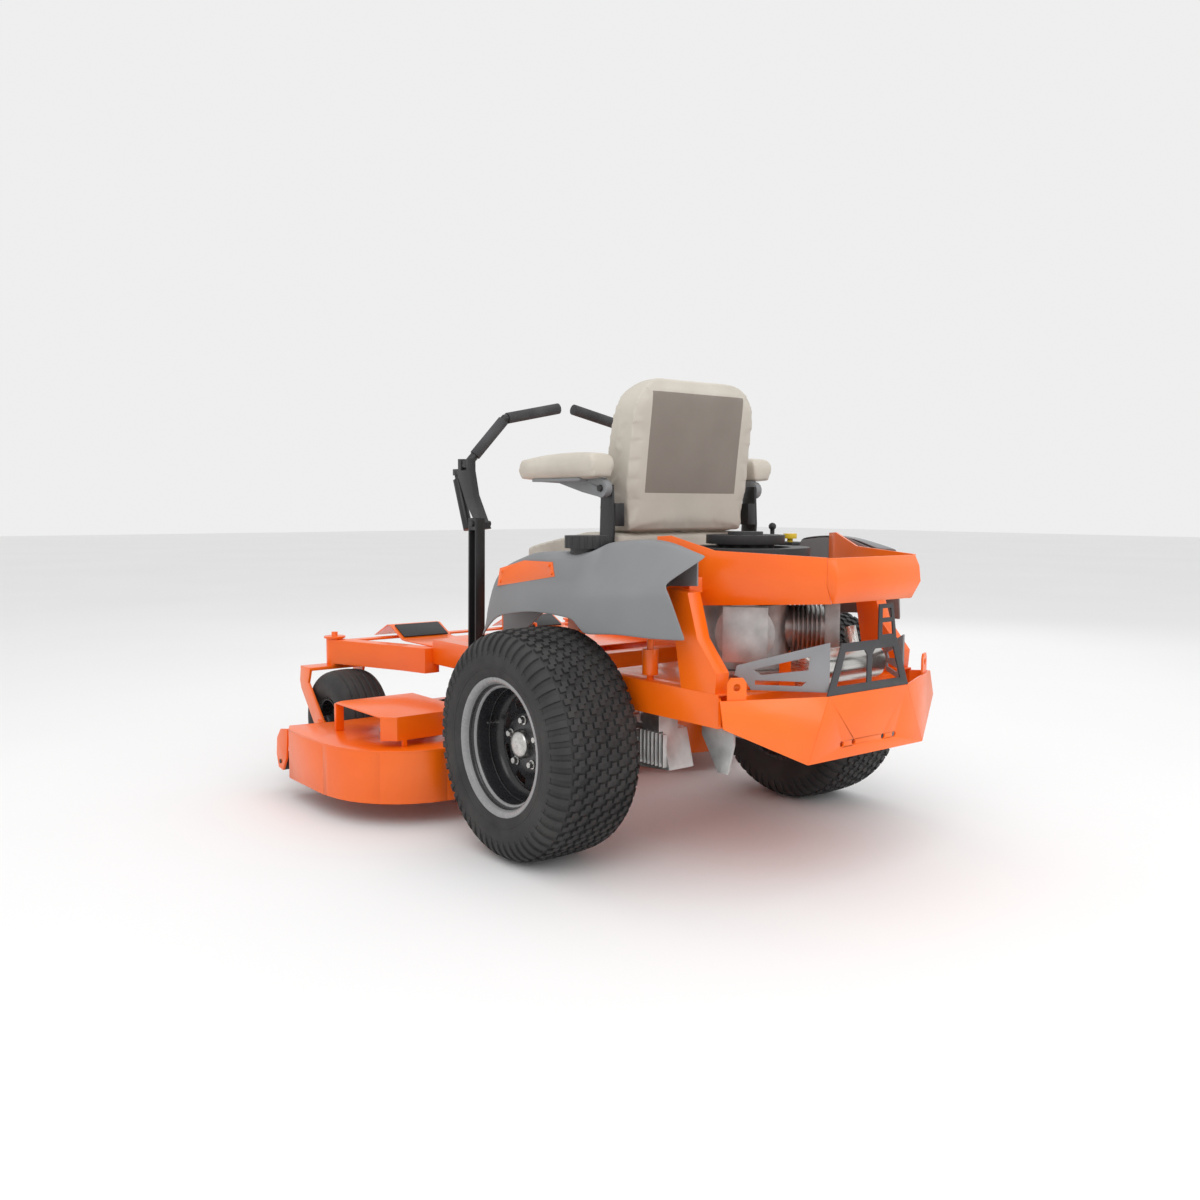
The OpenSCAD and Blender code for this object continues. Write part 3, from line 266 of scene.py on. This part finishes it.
# Grey and black steel: braces in satin grey, tail plate in charcoal, brackets in satin black.
def satin_paint(name, dark, light, rough):
    """Satin powder coat: two close shades clouded together over a fine grain."""
    coat = Finish(name, light, rough)
    coat.feed(Base_Color=coat.shades(coat.noise(6.0, 4.0), dark, light))
    coat.feed(Roughness=coat.noise(80.0) * 0.2 + (rough - 0.1))
    return coat.bump(coat.noise(900.0, 2.0), 0.0001, 0.4)


grey_steel = satin_paint("grey powder coat", (0.20, 0.20, 0.21), (0.27, 0.27, 0.28), 0.42)
charcoal = satin_paint("charcoal powder coat", (0.030, 0.030, 0.032), (0.048, 0.048, 0.052), 0.45)
black_steel = satin_paint("black powder coat", (0.009, 0.009, 0.010), (0.020, 0.020, 0.021), 0.40)
coat_node("rear_braces", grey_steel, 0.0006)
coat_node("tail_plate", charcoal, 0.0006)
for name in ("lever_posts", "lever_hub_left", "lever_hub_right", "lap_bar_left", "lap_bar_right",
             "seat_platform", "seat_brackets", "lift_pedal"):
    coat_node(name, black_steel, 0.0008)

# Moulded plastic: injection moulded and textured, grey for consoles and black for small parts.
def moulded_plastic(name, dark, light, rough):
    """Fine leathery mould grain over a slow drift between two close shades."""
    coat = Finish(name, light, rough)
    coat.feed(Base_Color=coat.shades(coat.noise(4.0, 3.0), dark, light))
    coat.feed(Roughness=coat.noise(120.0) * 0.14 + (rough - 0.07))
    return coat.bump(coat.node("ShaderNodeTexVoronoi", Vector=coat.place, Scale=900.0), 0.00015, 0.5)


grey_plastic = moulded_plastic("grey moulded plastic", (0.195, 0.200, 0.207), (0.235, 0.240, 0.247), 0.5)
black_plastic = moulded_plastic("black moulded plastic", (0.014, 0.014, 0.015), (0.024, 0.024, 0.026), 0.55)
yellow_plastic = moulded_plastic("yellow moulded plastic", (0.72, 0.48, 0.02), (0.80, 0.55, 0.03), 0.4)
for name in ("foot_pads", "control_panel", "engine_shroud", "engine_screen", "fuel_cap",
             "discharge_chute", "throttle_lever", "roller_left", "roller_right"):
    coat_node(name, black_plastic)
coat_node("pto_knob", yellow_plastic)
for name in ("armrest_arm_left", "armrest_arm_right"):
    coat_node(name, grey_plastic, 0.002)

# Bare metal: die-cast aluminium for engine and gear cases, zinc-plated or bright rolled steel.
cast_alloy = Finish("cast aluminium", (0.52, 0.52, 0.51), 0.45, 0.9)
cast_skin = cast_alloy.noise(18.0, 5.0)
cast_alloy.feed(Base_Color=cast_alloy.shades(cast_skin, (0.36, 0.36, 0.355), (0.62, 0.62, 0.61)))
cast_alloy.feed(Roughness=cast_alloy.noise(60.0, 5.0) * 0.3 + 0.3)
cast_alloy.bump(cast_alloy.noise(420.0, 4.0), 0.0004, 0.5)
bright_steel = Finish("bright steel", (0.62, 0.61, 0.58), 0.28, 1.0)
brushed = bright_steel.noise(30.0, 3.0, (1.0, 22.0, 22.0))
bright_steel.feed(Base_Color=bright_steel.shades(brushed, (0.50, 0.49, 0.47), (0.70, 0.69, 0.66)))
bright_steel.feed(Roughness=brushed * 0.25 + 0.14)
bright_steel.bump(brushed, 0.0001, 0.3)
for name in ("engine_block", "transaxles", "spindle_housings"):
    coat_node(name, cast_alloy)
for name in ("muffler", "spindle_left", "spindle_centre", "spindle_right"):
    coat_node(name, bright_steel)

# Rubber and foam: the belt, and the closed foam sleeves on the lever bars.
foam = Finish("foam sleeve", (0.055, 0.055, 0.058), 0.85)
foam.feed(Base_Color=foam.shades(foam.noise(14.0, 3.0), (0.040, 0.040, 0.043), (0.075, 0.075, 0.079)))
foam.bump(foam.node("ShaderNodeTexVoronoi", Vector=foam.place, Scale=1400.0), 0.0002, 0.7)
coat_node("deck_belt", foam, 0)
for name in ("lever_grip_left", "lever_grip_right"):
    coat_node(name, foam)

# Drive tyres: 22 inch turf tyres of black rubber, moulded with six rows of interlocking
# Z-shaped blocks and long shoulder lugs; the plain sidewalls carry a few thin raised rings.
TYRE_Y, WHEEL_Z = 0.4835, 0.2795


def smooth_line(points, rounds=3):
    """Chaikin's corner cutting: each corner is replaced by points a quarter along its two edges."""
    line = np.asarray(points, float)
    for _ in range(rounds):
        a, b = line[:-1], line[1:]
        cut = np.stack([0.75 * a + 0.25 * b, 0.25 * a + 0.75 * b], axis=1).reshape(-1, line.shape[1])
        line = np.concatenate([line[:1], cut, line[-1:]])
    return line


def revolve(profile, steps, closed=True):
    """Points r(s) at angles 2 pi k / steps about the Y axis: (r cos, y, r sin); quads between them."""
    line = np.asarray(profile, float)
    turn = np.arange(steps) * 2 * math.pi / steps
    r, y = line[:, 0][None, :], line[:, 1][None, :]
    points = np.stack([r * np.cos(turn)[:, None], y + 0 * turn[:, None], r * np.sin(turn)[:, None]], axis=-1)
    n = len(line)
    around = np.arange(steps)[:, None] * n
    after = ((np.arange(steps) + 1) % steps)[:, None] * n
    along = np.arange(n if closed else n - 1)[None, :]
    nxt = (along + 1) % n
    faces = np.stack([around + along, around + nxt, after + nxt, after + along], axis=-1).reshape(-1, 4)
    return points.reshape(-1, 3), faces


def shift(points, place, side=1):
    """Moves points to a place, mirrored to the -Y side where side is -1."""
    return (np.asarray(points) + np.asarray(place)) * (1, side, 1)


def merge(*parts):
    """Several (points, faces) lists joined into one."""
    points, faces, start = [], [], 0
    for pts, fcs in parts:
        points.append(np.asarray(pts, float))
        faces += [tuple(int(i) + start for i in f) for f in fcs]
        start += len(pts)
    return np.concatenate(points), faces


CROWN = smooth_line([(0.160, 0.108), (0.168, 0.1125), (0.186, 0.1185), (0.211, 0.1225), (0.236, 0.1200),
                     (0.2555, 0.1090), (0.2675, 0.0930), (0.2725, 0.0630), (0.2735, 0.0)], 3)
CROWN = np.concatenate([CROWN, (CROWN * (1, -1))[-2::-1]])
CROWN_S = np.concatenate([[0], np.cumsum(np.hypot(*np.diff(CROWN, axis=0).T))])
CROWN_S -= CROWN_S[len(CROWN_S) // 2]


def on_crown(turn, s, rise):
    """A point at angle turn, s along the crown from its middle, and rise above it along its normal."""
    s = -np.asarray(s, float)
    r, y = np.interp(s, CROWN_S, CROWN[:, 0]), np.interp(s, CROWN_S, CROWN[:, 1])
    dr = np.interp(s + 0.002, CROWN_S, CROWN[:, 0]) - np.interp(s - 0.002, CROWN_S, CROWN[:, 0])
    dy = np.interp(s + 0.002, CROWN_S, CROWN[:, 1]) - np.interp(s - 0.002, CROWN_S, CROWN[:, 1])
    size = np.hypot(dr, dy)
    r, y = r - rise * dy / size, y + rise * dr / size
    return np.stack([r * np.cos(turn), y, r * np.sin(turn)], axis=-1)


def tread(count=56, rows=6, width=0.030):
    """Blocks on the crown: Z outlines in (turn, s) cells, rows staggered by half a pitch, and lugs."""
    pitch = 2 * math.pi / count
    zed = np.array([(0.04, 0.06), (0.52, 0.06), (0.56, 0.40), (0.94, 0.44), (0.94, 0.94), (0.46, 0.94),
                    (0.42, 0.60), (0.04, 0.56)])
    parts = []
    for row in range(rows):
        s0 = (row - rows / 2) * width
        for k in range(count):
            turn = (k + 0.5 * (row % 2) + zed[:, 0] + 0.032 * math.sin(7.0 * k + row)) * pitch
            s = s0 + zed[:, 1] * width
            middle = np.array([turn.mean(), s.mean()])
            inner = middle + (np.stack([turn, s], 1) - middle) * 0.88
            low = on_crown(turn, s, -0.002)
            top = on_crown(inner[:, 0], inner[:, 1], 0.0058)
            n = len(zed)
            sides = [(i, (i + 1) % n, n + (i + 1) % n, n + i) for i in range(n)]
            parts.append((np.concatenate([low, top]), sides + [tuple(range(n, 2 * n))]))
    for way in (-1, 1):
        for k in range(count):
            ends = np.linspace(0.093, 0.150, 6)
            wide = np.array([0.30, 0.31, 0.31, 0.30, 0.27, 0.20])
            rise = np.array([0.0056, 0.0056, 0.0054, 0.0048, 0.0036, 0.0008])
            turn = (k + 0.25 + 0.5 * (way > 0)) * pitch
            a, b = turn - wide * pitch, turn + wide * pitch
            low = np.concatenate([on_crown(a, way * ends, -0.002), on_crown(b, way * ends, -0.002)])
            top = np.concatenate([on_crown(a * 0.9 + b * 0.1, way * ends, rise),
                                  on_crown(b * 0.9 + a * 0.1, way * ends, rise)])
            n = len(ends)
            faces = []
            for i in range(n - 1):
                faces += [(2 * n + i, 2 * n + i + 1, 3 * n + i + 1, 3 * n + i),
                          (i, i + 1, 2 * n + i + 1, 2 * n + i), (n + i, 3 * n + i, 3 * n + i + 1, n + i + 1)]
            faces += [(0, 2 * n, 3 * n, n), (n - 1, 2 * n - 1, 4 * n - 1, 3 * n - 1)]
            parts.append((np.concatenate([low, top]), faces))
    return merge(*parts)


tyre_rubber = Finish("tyre rubber", (0.030, 0.030, 0.032), 0.75)
dust = tyre_rubber.noise(9.0, 6.0)
tyre_rubber.feed(Base_Color=tyre_rubber.shades(dust, (0.017, 0.017, 0.018), (0.040, 0.039, 0.038)))
tyre_rubber.feed(Roughness=tyre_rubber.noise(40.0, 4.0) * 0.25 + 0.6)
tyre_rubber.bump(tyre_rubber.noise(380.0, 4.0), 0.0003, 0.5)
carcass = np.concatenate([CROWN, CROWN[::-1] * (1, 0.9) + (-0.012, 0.0)])
rings = [revolve(smooth_line([(r - 0.0018, y), (r, y + 0.0016), (r + 0.0018, y)], 1), 128, closed=False)
         for r, y in ((0.190, 0.1187), (0.197, 0.1196), (0.228, 0.1209))]
blocks = tread()
for side, name in ((1, "left"), (-1, "right")):
    place = (0, TYRE_Y, WHEEL_Z)
    around, quads = revolve(carcass, 144)
    body = surface(f"drive_tyre_{name}", shift(around, place, side), quads, tyre_rubber, smooth=50)
    mount_piece(body, f"drive_wheel_{name}", "tyre", f"rear_tyre_{name}")
    lumps = surface(f"drive_tread_{name}", shift(blocks[0], place, side), blocks[1], tyre_rubber, smooth=25)
    mount_piece(lumps, f"drive_wheel_{name}", "tyre")
    ribs = merge(*rings)
    thin = surface(f"sidewall_rings_{name}", shift(ribs[0], place, side), ribs[1], tyre_rubber,
                   smooth=60, solid=0.001)
    mount_piece(thin, f"drive_wheel_{name}", "tyre")

# Drive rims: a deep pressed steel barrel, painted charcoal, with a rolled lip and a slotted disc
# bolted to the axle hub by five nuts behind a plated hub cap; the light grey of the lip and
# the inner ring is a painted reflection on that charcoal paint.
rim_paint = satin_paint("rim paint", (0.016, 0.016, 0.018), (0.030, 0.030, 0.033), 0.28)
# Painted reflection: the lip and the inner ring get a light grey copy of the charcoal rim paint.
lip_painted_reflection = satin_paint("rim lip painted reflection", (0.20, 0.20, 0.205), (0.34, 0.34, 0.345), 0.26)
plated = Finish("zinc plate", (0.60, 0.59, 0.57), 0.3, 1.0)
grain = plated.noise(90.0, 4.0)
plated.feed(Base_Color=plated.shades(grain, (0.46, 0.455, 0.44), (0.68, 0.67, 0.65)))
plated.feed(Roughness=grain * 0.2 + 0.2)
plated.bump(grain, 0.0001, 0.3)
barrel = smooth_line([(0.1655, 0.1085), (0.160, 0.107), (0.152, 0.099), (0.150, 0.090), (0.143, 0.086),
                      (0.139, 0.078), (0.138, 0.050), (0.136, 0.030), (0.130, 0.020), (0.122, 0.016)], 2)
barrel_back = smooth_line([(0.138, 0.050), (0.147, 0.020), (0.150, -0.040), (0.151, -0.095), (0.160, -0.107),
                           (0.1655, -0.1085)], 2)
lip = smooth_line([(0.1500, 0.1000), (0.1530, 0.1080), (0.1600, 0.1130), (0.1672, 0.1135), (0.1682, 0.1090),
                   (0.1655, 0.1060), (0.1560, 0.1020)], 2)
inner_ring = smooth_line([(0.1395, 0.0840), (0.1420, 0.0885), (0.1460, 0.0890), (0.1480, 0.0850),
                          (0.1440, 0.0810)], 2)


def slotted_disc(slots=8, steps=96):
    """A polar grid from the hub out to the barrel, with a rounded slot left out in each sector."""
    radii = [0.0, 0.020, 0.046, 0.066, 0.076, 0.084, 0.093, 0.104, 0.115, 0.122]
    depth = [0.036, 0.036, 0.036, 0.035, 0.031, 0.024, 0.022, 0.022, 0.020, 0.016]
    turn = np.arange(steps) * 2 * math.pi / steps
    points = [(r * math.cos(t), y, r * math.sin(t)) for r, y in zip(radii[1:], depth[1:]) for t in turn]
    points.append((0.0, depth[0], 0.0))
    faces, each = [], steps // slots
    for i in range(len(radii) - 2):
        for k in range(steps):
            if 5 <= i <= 6 and 3 <= k % each <= 8:
                continue
            faces.append((i * steps + k, i * steps + (k + 1) % steps,
                          (i + 1) * steps + (k + 1) % steps, (i + 1) * steps + k))
    faces += [(len(points) - 1, k, (k + 1) % steps) for k in range(steps)]
    return np.array(points), faces


def hex_bolt(place, along, size, head, washer=True):
    """A hexagon head with a domed top and a washer; along is the way out, place the washer's seat."""
    along = np.asarray(along, float) / np.linalg.norm(along)
    across = np.cross(along, (0.31, 0.52, 0.79))
    across /= np.linalg.norm(across)
    other = np.cross(along, across)
    parts = []

    def stack(levels, count, start=0.0):
        turn = start + np.arange(count) * 2 * math.pi / count
        ring = np.cos(turn)[:, None] * across + np.sin(turn)[:, None] * other
        points = np.concatenate([ring * r + along * h for h, r in levels]) + place
        faces = [(j * count + i, j * count + (i + 1) % count, (j + 1) * count + (i + 1) % count,
                  (j + 1) * count + i)
                 for j in range(len(levels) - 1) for i in range(count)]
        faces += [tuple(range(count))[::-1], tuple(range((len(levels) - 1) * count, len(levels) * count))]
        parts.append((points, faces))

    if washer:
        stack([(0.0, size * 1.25), (size * 0.2, size * 1.25), (size * 0.22, size * 1.15)], 20)
    stack([(size * 0.15, size), (head * 0.8, size), (head, size * 0.8)], 6)
    return merge(*parts)


for side, name in ((1, "left"), (-1, "right")):
    place = (0, TYRE_Y, WHEEL_Z)
    body = f"drive_wheel_{name}"
    shells = merge(revolve(barrel, 128, closed=False), revolve(barrel_back, 128, closed=False))
    piece = surface(f"rim_barrel_{name}", shift(shells[0], place, side), shells[1], rim_paint,
                    smooth=50, solid=0.0025)
    mount_piece(piece, body, "rim_paint", f"rear_rim_{name}")
    rolled = revolve(lip, 144)
    mount_piece(surface(f"rim_lip_{name}", shift(rolled[0], place, side), rolled[1], lip_painted_reflection, smooth=60),
                body, "rim_paint")
    rolled = revolve(inner_ring, 144)
    ring = surface(f"rim_inner_ring_{name}", shift(rolled[0], place, side), rolled[1], lip_painted_reflection, smooth=60)
    mount_piece(ring, body, "rim_paint")
    disc = slotted_disc()
    piece = surface(f"rim_disc_{name}", shift(disc[0], place, side), disc[1], rim_paint,
                    smooth=60, solid=0.005, levels=1)
    mount_piece(piece, body, "rim_paint")
    cap = smooth_line([(0.0, 0.062), (0.022, 0.061), (0.033, 0.055), (0.036, 0.044), (0.036, 0.034)], 3)
    boss = revolve(cap, 48, closed=False)
    axle = revolve([(0.0198, -0.060), (0.0198, 0.038), (0.0, 0.038)], 48, closed=False)
    hub = revolve(smooth_line([(0.020, -0.040), (0.044, -0.040), (0.046, -0.036), (0.046, 0.010),
                               (0.060, 0.018), (0.080, 0.019)], 1), 64, closed=False)
    cover = surface(f"hub_cap_{name}", shift(boss[0], place, side), boss[1], plated, smooth=50, solid=0.002)
    mount_piece(cover, body, "bright_steel")
    centre = surface(f"wheel_hub_{name}", shift(hub[0], place, side), hub[1], rim_paint, smooth=50,
                        solid=0.003)
    mount_piece(centre, body, "rim_paint")
    nuts = merge(*[hex_bolt((0.057 * math.cos(a), 0.0365, 0.057 * math.sin(a)), (0, 1, 0), 0.009, 0.012)
                   for a in np.arange(5) * 2 * math.pi / 5 + 0.3])
    valve = revolve([(0.0, 0.030), (0.0035, 0.030), (0.004, 0.008), (0.006, 0.0)], 16, closed=False)
    valve = (valve[0] + (0.118, 0.035, 0.035), valve[1])
    fixings = merge(nuts, valve)
    mount_piece(surface(f"wheel_nuts_{name}", shift(fixings[0], place, side), fixings[1], plated, smooth=35),
                body, "bright_steel")

# Caster wheels: smooth 13 inch tyres with shallow ribs on black pressed rims, each on a
# sealed hub that turns on the fork's axle bolt.
CASTER = (1.059, 0.479, 0.165)
tyre_line = smooth_line([(0.0785, 0.0660), (0.094, 0.0760), (0.115, 0.0820), (0.143, 0.0770), (0.158, 0.0580),
                         (0.1635, 0.0330), (0.1650, 0.0)], 3)
tyre_line = np.concatenate([tyre_line, (tyre_line * (1, -1))[-2::-1]])
for groove in (-0.045, -0.022, 0.0, 0.022, 0.045):
    tyre_line[:, 0] -= 0.0022 * np.exp(-((tyre_line[:, 1] - groove) / 0.0022) ** 2)
stations = np.linspace(0, len(tyre_line) - 1, 260)
dense = np.stack([np.interp(stations, np.arange(len(tyre_line)), tyre_line[:, i])
                  for i in (0, 1)], 1)
for groove in (-0.045, -0.022, 0.0, 0.022, 0.045):
    near = (dense[:, 0] > 0.12) * np.exp(-((dense[:, 1] - groove) / 0.0018) ** 2)
    dense[:, 0] -= 0.0022 * near
closing = np.array([(0.0785, -0.066), (0.083, -0.05), (0.083, 0.05)])
caster_line = np.concatenate([dense, closing])
caster_rim = smooth_line([(0.0780, 0.0700), (0.0720, 0.0690), (0.0690, 0.0600), (0.0680, 0.0250),
                          (0.0600, 0.0170),
                          (0.0400, 0.0150), (0.0300, 0.0180), (0.0270, 0.0300), (0.0260, 0.0780),
                          (0.0200, 0.0800),
                          (0.0098, 0.0800)], 2)
for side, name in ((1, "left"), (-1, "right")):
    body = f"caster_wheel_{name}"
    line = revolve(caster_line, 96)
    mount_piece(surface(f"caster_tyre_{name}", shift(line[0], CASTER, side), line[1], tyre_rubber, smooth=60),
                body, "tyre", f"caster_tyre_{name}")
    shells = merge(revolve(caster_rim, 72, closed=False), revolve(caster_rim * (1, -1), 72, closed=False))
    wheel = surface(f"caster_rim_{name}", shift(shells[0], CASTER, side), shells[1], rim_paint,
                    smooth=50, solid=0.003)
    mount_piece(wheel, body, "rim_paint", f"caster_rim_{name}")

# Side consoles: rotational mouldings in grey textured polyethylene that cover the fuel tank
# and flare out over each drive wheel, screwed to the seat frame.
RIBS = np.array([
    [(-385, 313, 741), (-434, 335, 739), (-365, 395, 679), (-389, 400, 657), (-414, 375, 559)],
    [(-289, 313, 772), (-289, 345, 770), (-299, 405, 671), (-311, 415, 651), (-306, 410, 556)],
    [(-193, 313, 770), (-193, 360, 768), (-228, 410, 670), (-241, 425, 647), (-248, 430, 562)],
    [(-130, 313, 762), (-130, 372, 760), (-118, 418, 669), (-100, 430, 636), (-134, 440, 549)],
    [(-118, 313, 736), (-107, 420, 736), (-60, 420, 667), (-68, 430, 633), (-90, 440, 585)],
    [(104, 313, 736), (100, 420, 736), (100, 420, 660), (88, 430, 625), (60, 440, 590)],
    [(160, 313, 722), (160, 420, 716), (170, 420, 651), (155, 430, 618), (140, 438, 581)],
    [(236, 313, 700), (256, 420, 691), (272, 420, 636), (257, 425, 609), (212, 432, 570)],
    [(275, 313, 676), (305, 408, 640), (322, 406, 600), (318, 410, 578), (283, 420, 555)],
    [(345, 313, 600), (337, 404, 575), (347, 402, 545), (360, 398, 520), (381, 395, 496)]]) / 1000.0


def console_skin():
    """The ribs with two more points beside each crease, so that smoothing keeps creases tight."""
    rows = []
    for rib in RIBS:
        line = [rib[0], rib[0] * 0.25 + rib[1] * 0.75]
        for i in range(1, 4):
            before, here, after = rib[i - 1], rib[i], rib[i + 1]
            line += [here + (before - here) * 0.12, here + (after - here) * 0.12]
        line += [rib[4] + (rib[3] - rib[4]) * 0.12, rib[4]]
        rows.append(line)
    rows = np.array(rows)
    tight = [rows[0], rows[0] * 0.9 + rows[1] * 0.1]
    for i in range(1, len(rows) - 1):
        if i in (3, 4):
            tight += [rows[i] * 0.88 + rows[i - 1] * 0.12, rows[i] * 0.88 + rows[i + 1] * 0.12]
        else:
            tight.append(rows[i])
    tight += [rows[-1] * 0.9 + rows[-2] * 0.1, rows[-1]]
    return np.array(tight)


skin = console_skin()
skin_faces = grid_faces(*skin.shape[:2])
wall_line = np.concatenate([RIBS[:, 0][:, [0, 2]] - (0, 0.003), np.array(
    [(402, 560), (402, 495), (300, 510), (200, 575), (-120, 600), (-290, 669), (-385, 674)]) / 1000.0])
n = len(wall_line)
wall = (np.concatenate([np.insert(wall_line, 1, 0.3122, axis=1), np.insert(wall_line, 1, 0.3168, axis=1)]),
        [tuple(range(n)), tuple(range(2 * n - 1, n - 1, -1))]
        + [(i, n + i, n + (i + 1) % n, (i + 1) % n) for i in range(n)])
for side, name in ((1, "left"), (-1, "right")):
    piece = surface(f"console_skin_{name}", skin.reshape(-1, 3) * (1, side, 1), skin_faces, grey_plastic,
                    smooth=50, solid=0.0045 * side, levels=2, outward=False)
    mount_piece(piece, "chassis", "grey_plastic", f"fender_{name}")
    piece = surface(f"console_inner_wall_{name}", wall[0] * (1, side, 1), wall[1], grey_plastic,
                    smooth=30, bevel=0.001)
    mount_piece(piece, "chassis", "grey_plastic", f"fender_{name}")

# Seat and armrests: foam under a cover of grained vinyl, fixed to the seat frame; each cover is
# inflated as cloth from its own shape, so that it swells as a stuffed one does.
vinyl = Finish("grained vinyl", (0.55, 0.50, 0.43), 0.5)
weave = vinyl.noise(420.0, 3.0)
vinyl.feed(Base_Color=vinyl.shades(vinyl.noise(7.0, 5.0), (0.47, 0.43, 0.37), (0.62, 0.57, 0.49)))
vinyl.feed(Roughness=weave * 0.2 + 0.42)
vinyl.bump(weave, 0.0004, 0.5)


back_vinyl = Finish("two-tone back vinyl", (0.50, 0.46, 0.40), 0.5)
depth, across, upward = (back_vinyl.node("ShaderNodeSeparateXYZ", output=axis, Vector=back_vinyl.place)
                         for axis in "XYZ")
rise = upward - 0.985
rear_panel = (1 - (depth > -0.02)) * (1 - (across * across > 0.0256)) * (1 - (rise * rise > 0.024))
tones = [(0.05, (0.47, 0.43, 0.37)), (0.20, (0.60, 0.56, 0.49)), (0.75, (0.20, 0.17, 0.145)),
         (0.95, (0.27, 0.24, 0.205))]
tone = back_vinyl.noise(7.0, 5.0) * 0.25 + rear_panel * 0.7
back_vinyl.feed(Base_Color=back_vinyl.node("ShaderNodeValToRGB", {"stops": tones}, Fac=tone))
grain = back_vinyl.noise(420.0, 3.0)
back_vinyl.feed(Roughness=grain * 0.2 + 0.42)
back_vinyl.bump(grain, 0.0004, 0.5)


def stuffed(name, node, finish, shrink=0.985, voxel=0.006, most=0.006):
    """A copy of the node's shape, a little smaller, inflated as cloth and held within most of its start."""
    low, high = (np.array(corner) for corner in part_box(node))
    centre = (low + high) / 2
    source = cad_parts[node]
    mesh = source.data.copy()
    points = np.empty(len(mesh.vertices) * 3)
    mesh.vertices.foreach_get("co", points)
    points = (points.reshape(-1, 3) - centre) * shrink + centre
    mesh.vertices.foreach_set("co", points.ravel())
    mesh.materials.clear()
    mesh.materials.append(finish.material)
    piece = bpy.data.objects.new(name, mesh)
    bpy.context.scene.collection.objects.link(piece)
    remesh = piece.modifiers.new("skin", "REMESH")
    remesh.mode, remesh.voxel_size, remesh.use_smooth_shade = "VOXEL", voxel, True
    baked = bpy.data.meshes.new_from_object(piece.evaluated_get(bpy.context.evaluated_depsgraph_get()))
    piece.modifiers.clear()
    piece.data = baked
    start = np.empty(len(baked.vertices) * 3)
    baked.vertices.foreach_get("co", start)
    cloth = piece.modifiers.new("cover", "CLOTH")
    cloth.settings.quality = 5
    cloth.settings.use_pressure = True
    cloth.settings.uniform_pressure_force = 4.0
    cloth.settings.effector_weights.gravity = 0.0
    for step in range(1, 21):
        bpy.context.scene.frame_set(step)
    blown = bpy.data.meshes.new_from_object(piece.evaluated_get(bpy.context.evaluated_depsgraph_get()))
    piece.modifiers.clear()
    moved = np.empty(len(blown.vertices) * 3)
    blown.vertices.foreach_get("co", moved)
    step = (moved - start).reshape(-1, 3)
    far = np.linalg.norm(step, axis=1, keepdims=True)
    step *= np.minimum(1.0, most / np.maximum(far, 1e-9))
    end = np.clip(start.reshape(-1, 3) + step, low - 0.004, high + 0.004)
    blown.vertices.foreach_set("co", end.ravel())
    piece.data = blown
    bpy.context.scene.frame_set(1)
    piece.data.shade_smooth()
    round_off = piece.modifiers.new("round", "SUBSURF")
    round_off.levels = round_off.render_levels = 1
    return piece


for node, body in (("seat_cushion", "seat"), ("seat_back", "seat"), ("armrest_pad_left", "armrest_left"),
                   ("armrest_pad_right", "armrest_right")):
    piece = stuffed(f"{node}_cover", node, back_vinyl if node == "seat_back" else vinyl)
    mount_piece(piece, body, "seat_vinyl", node)
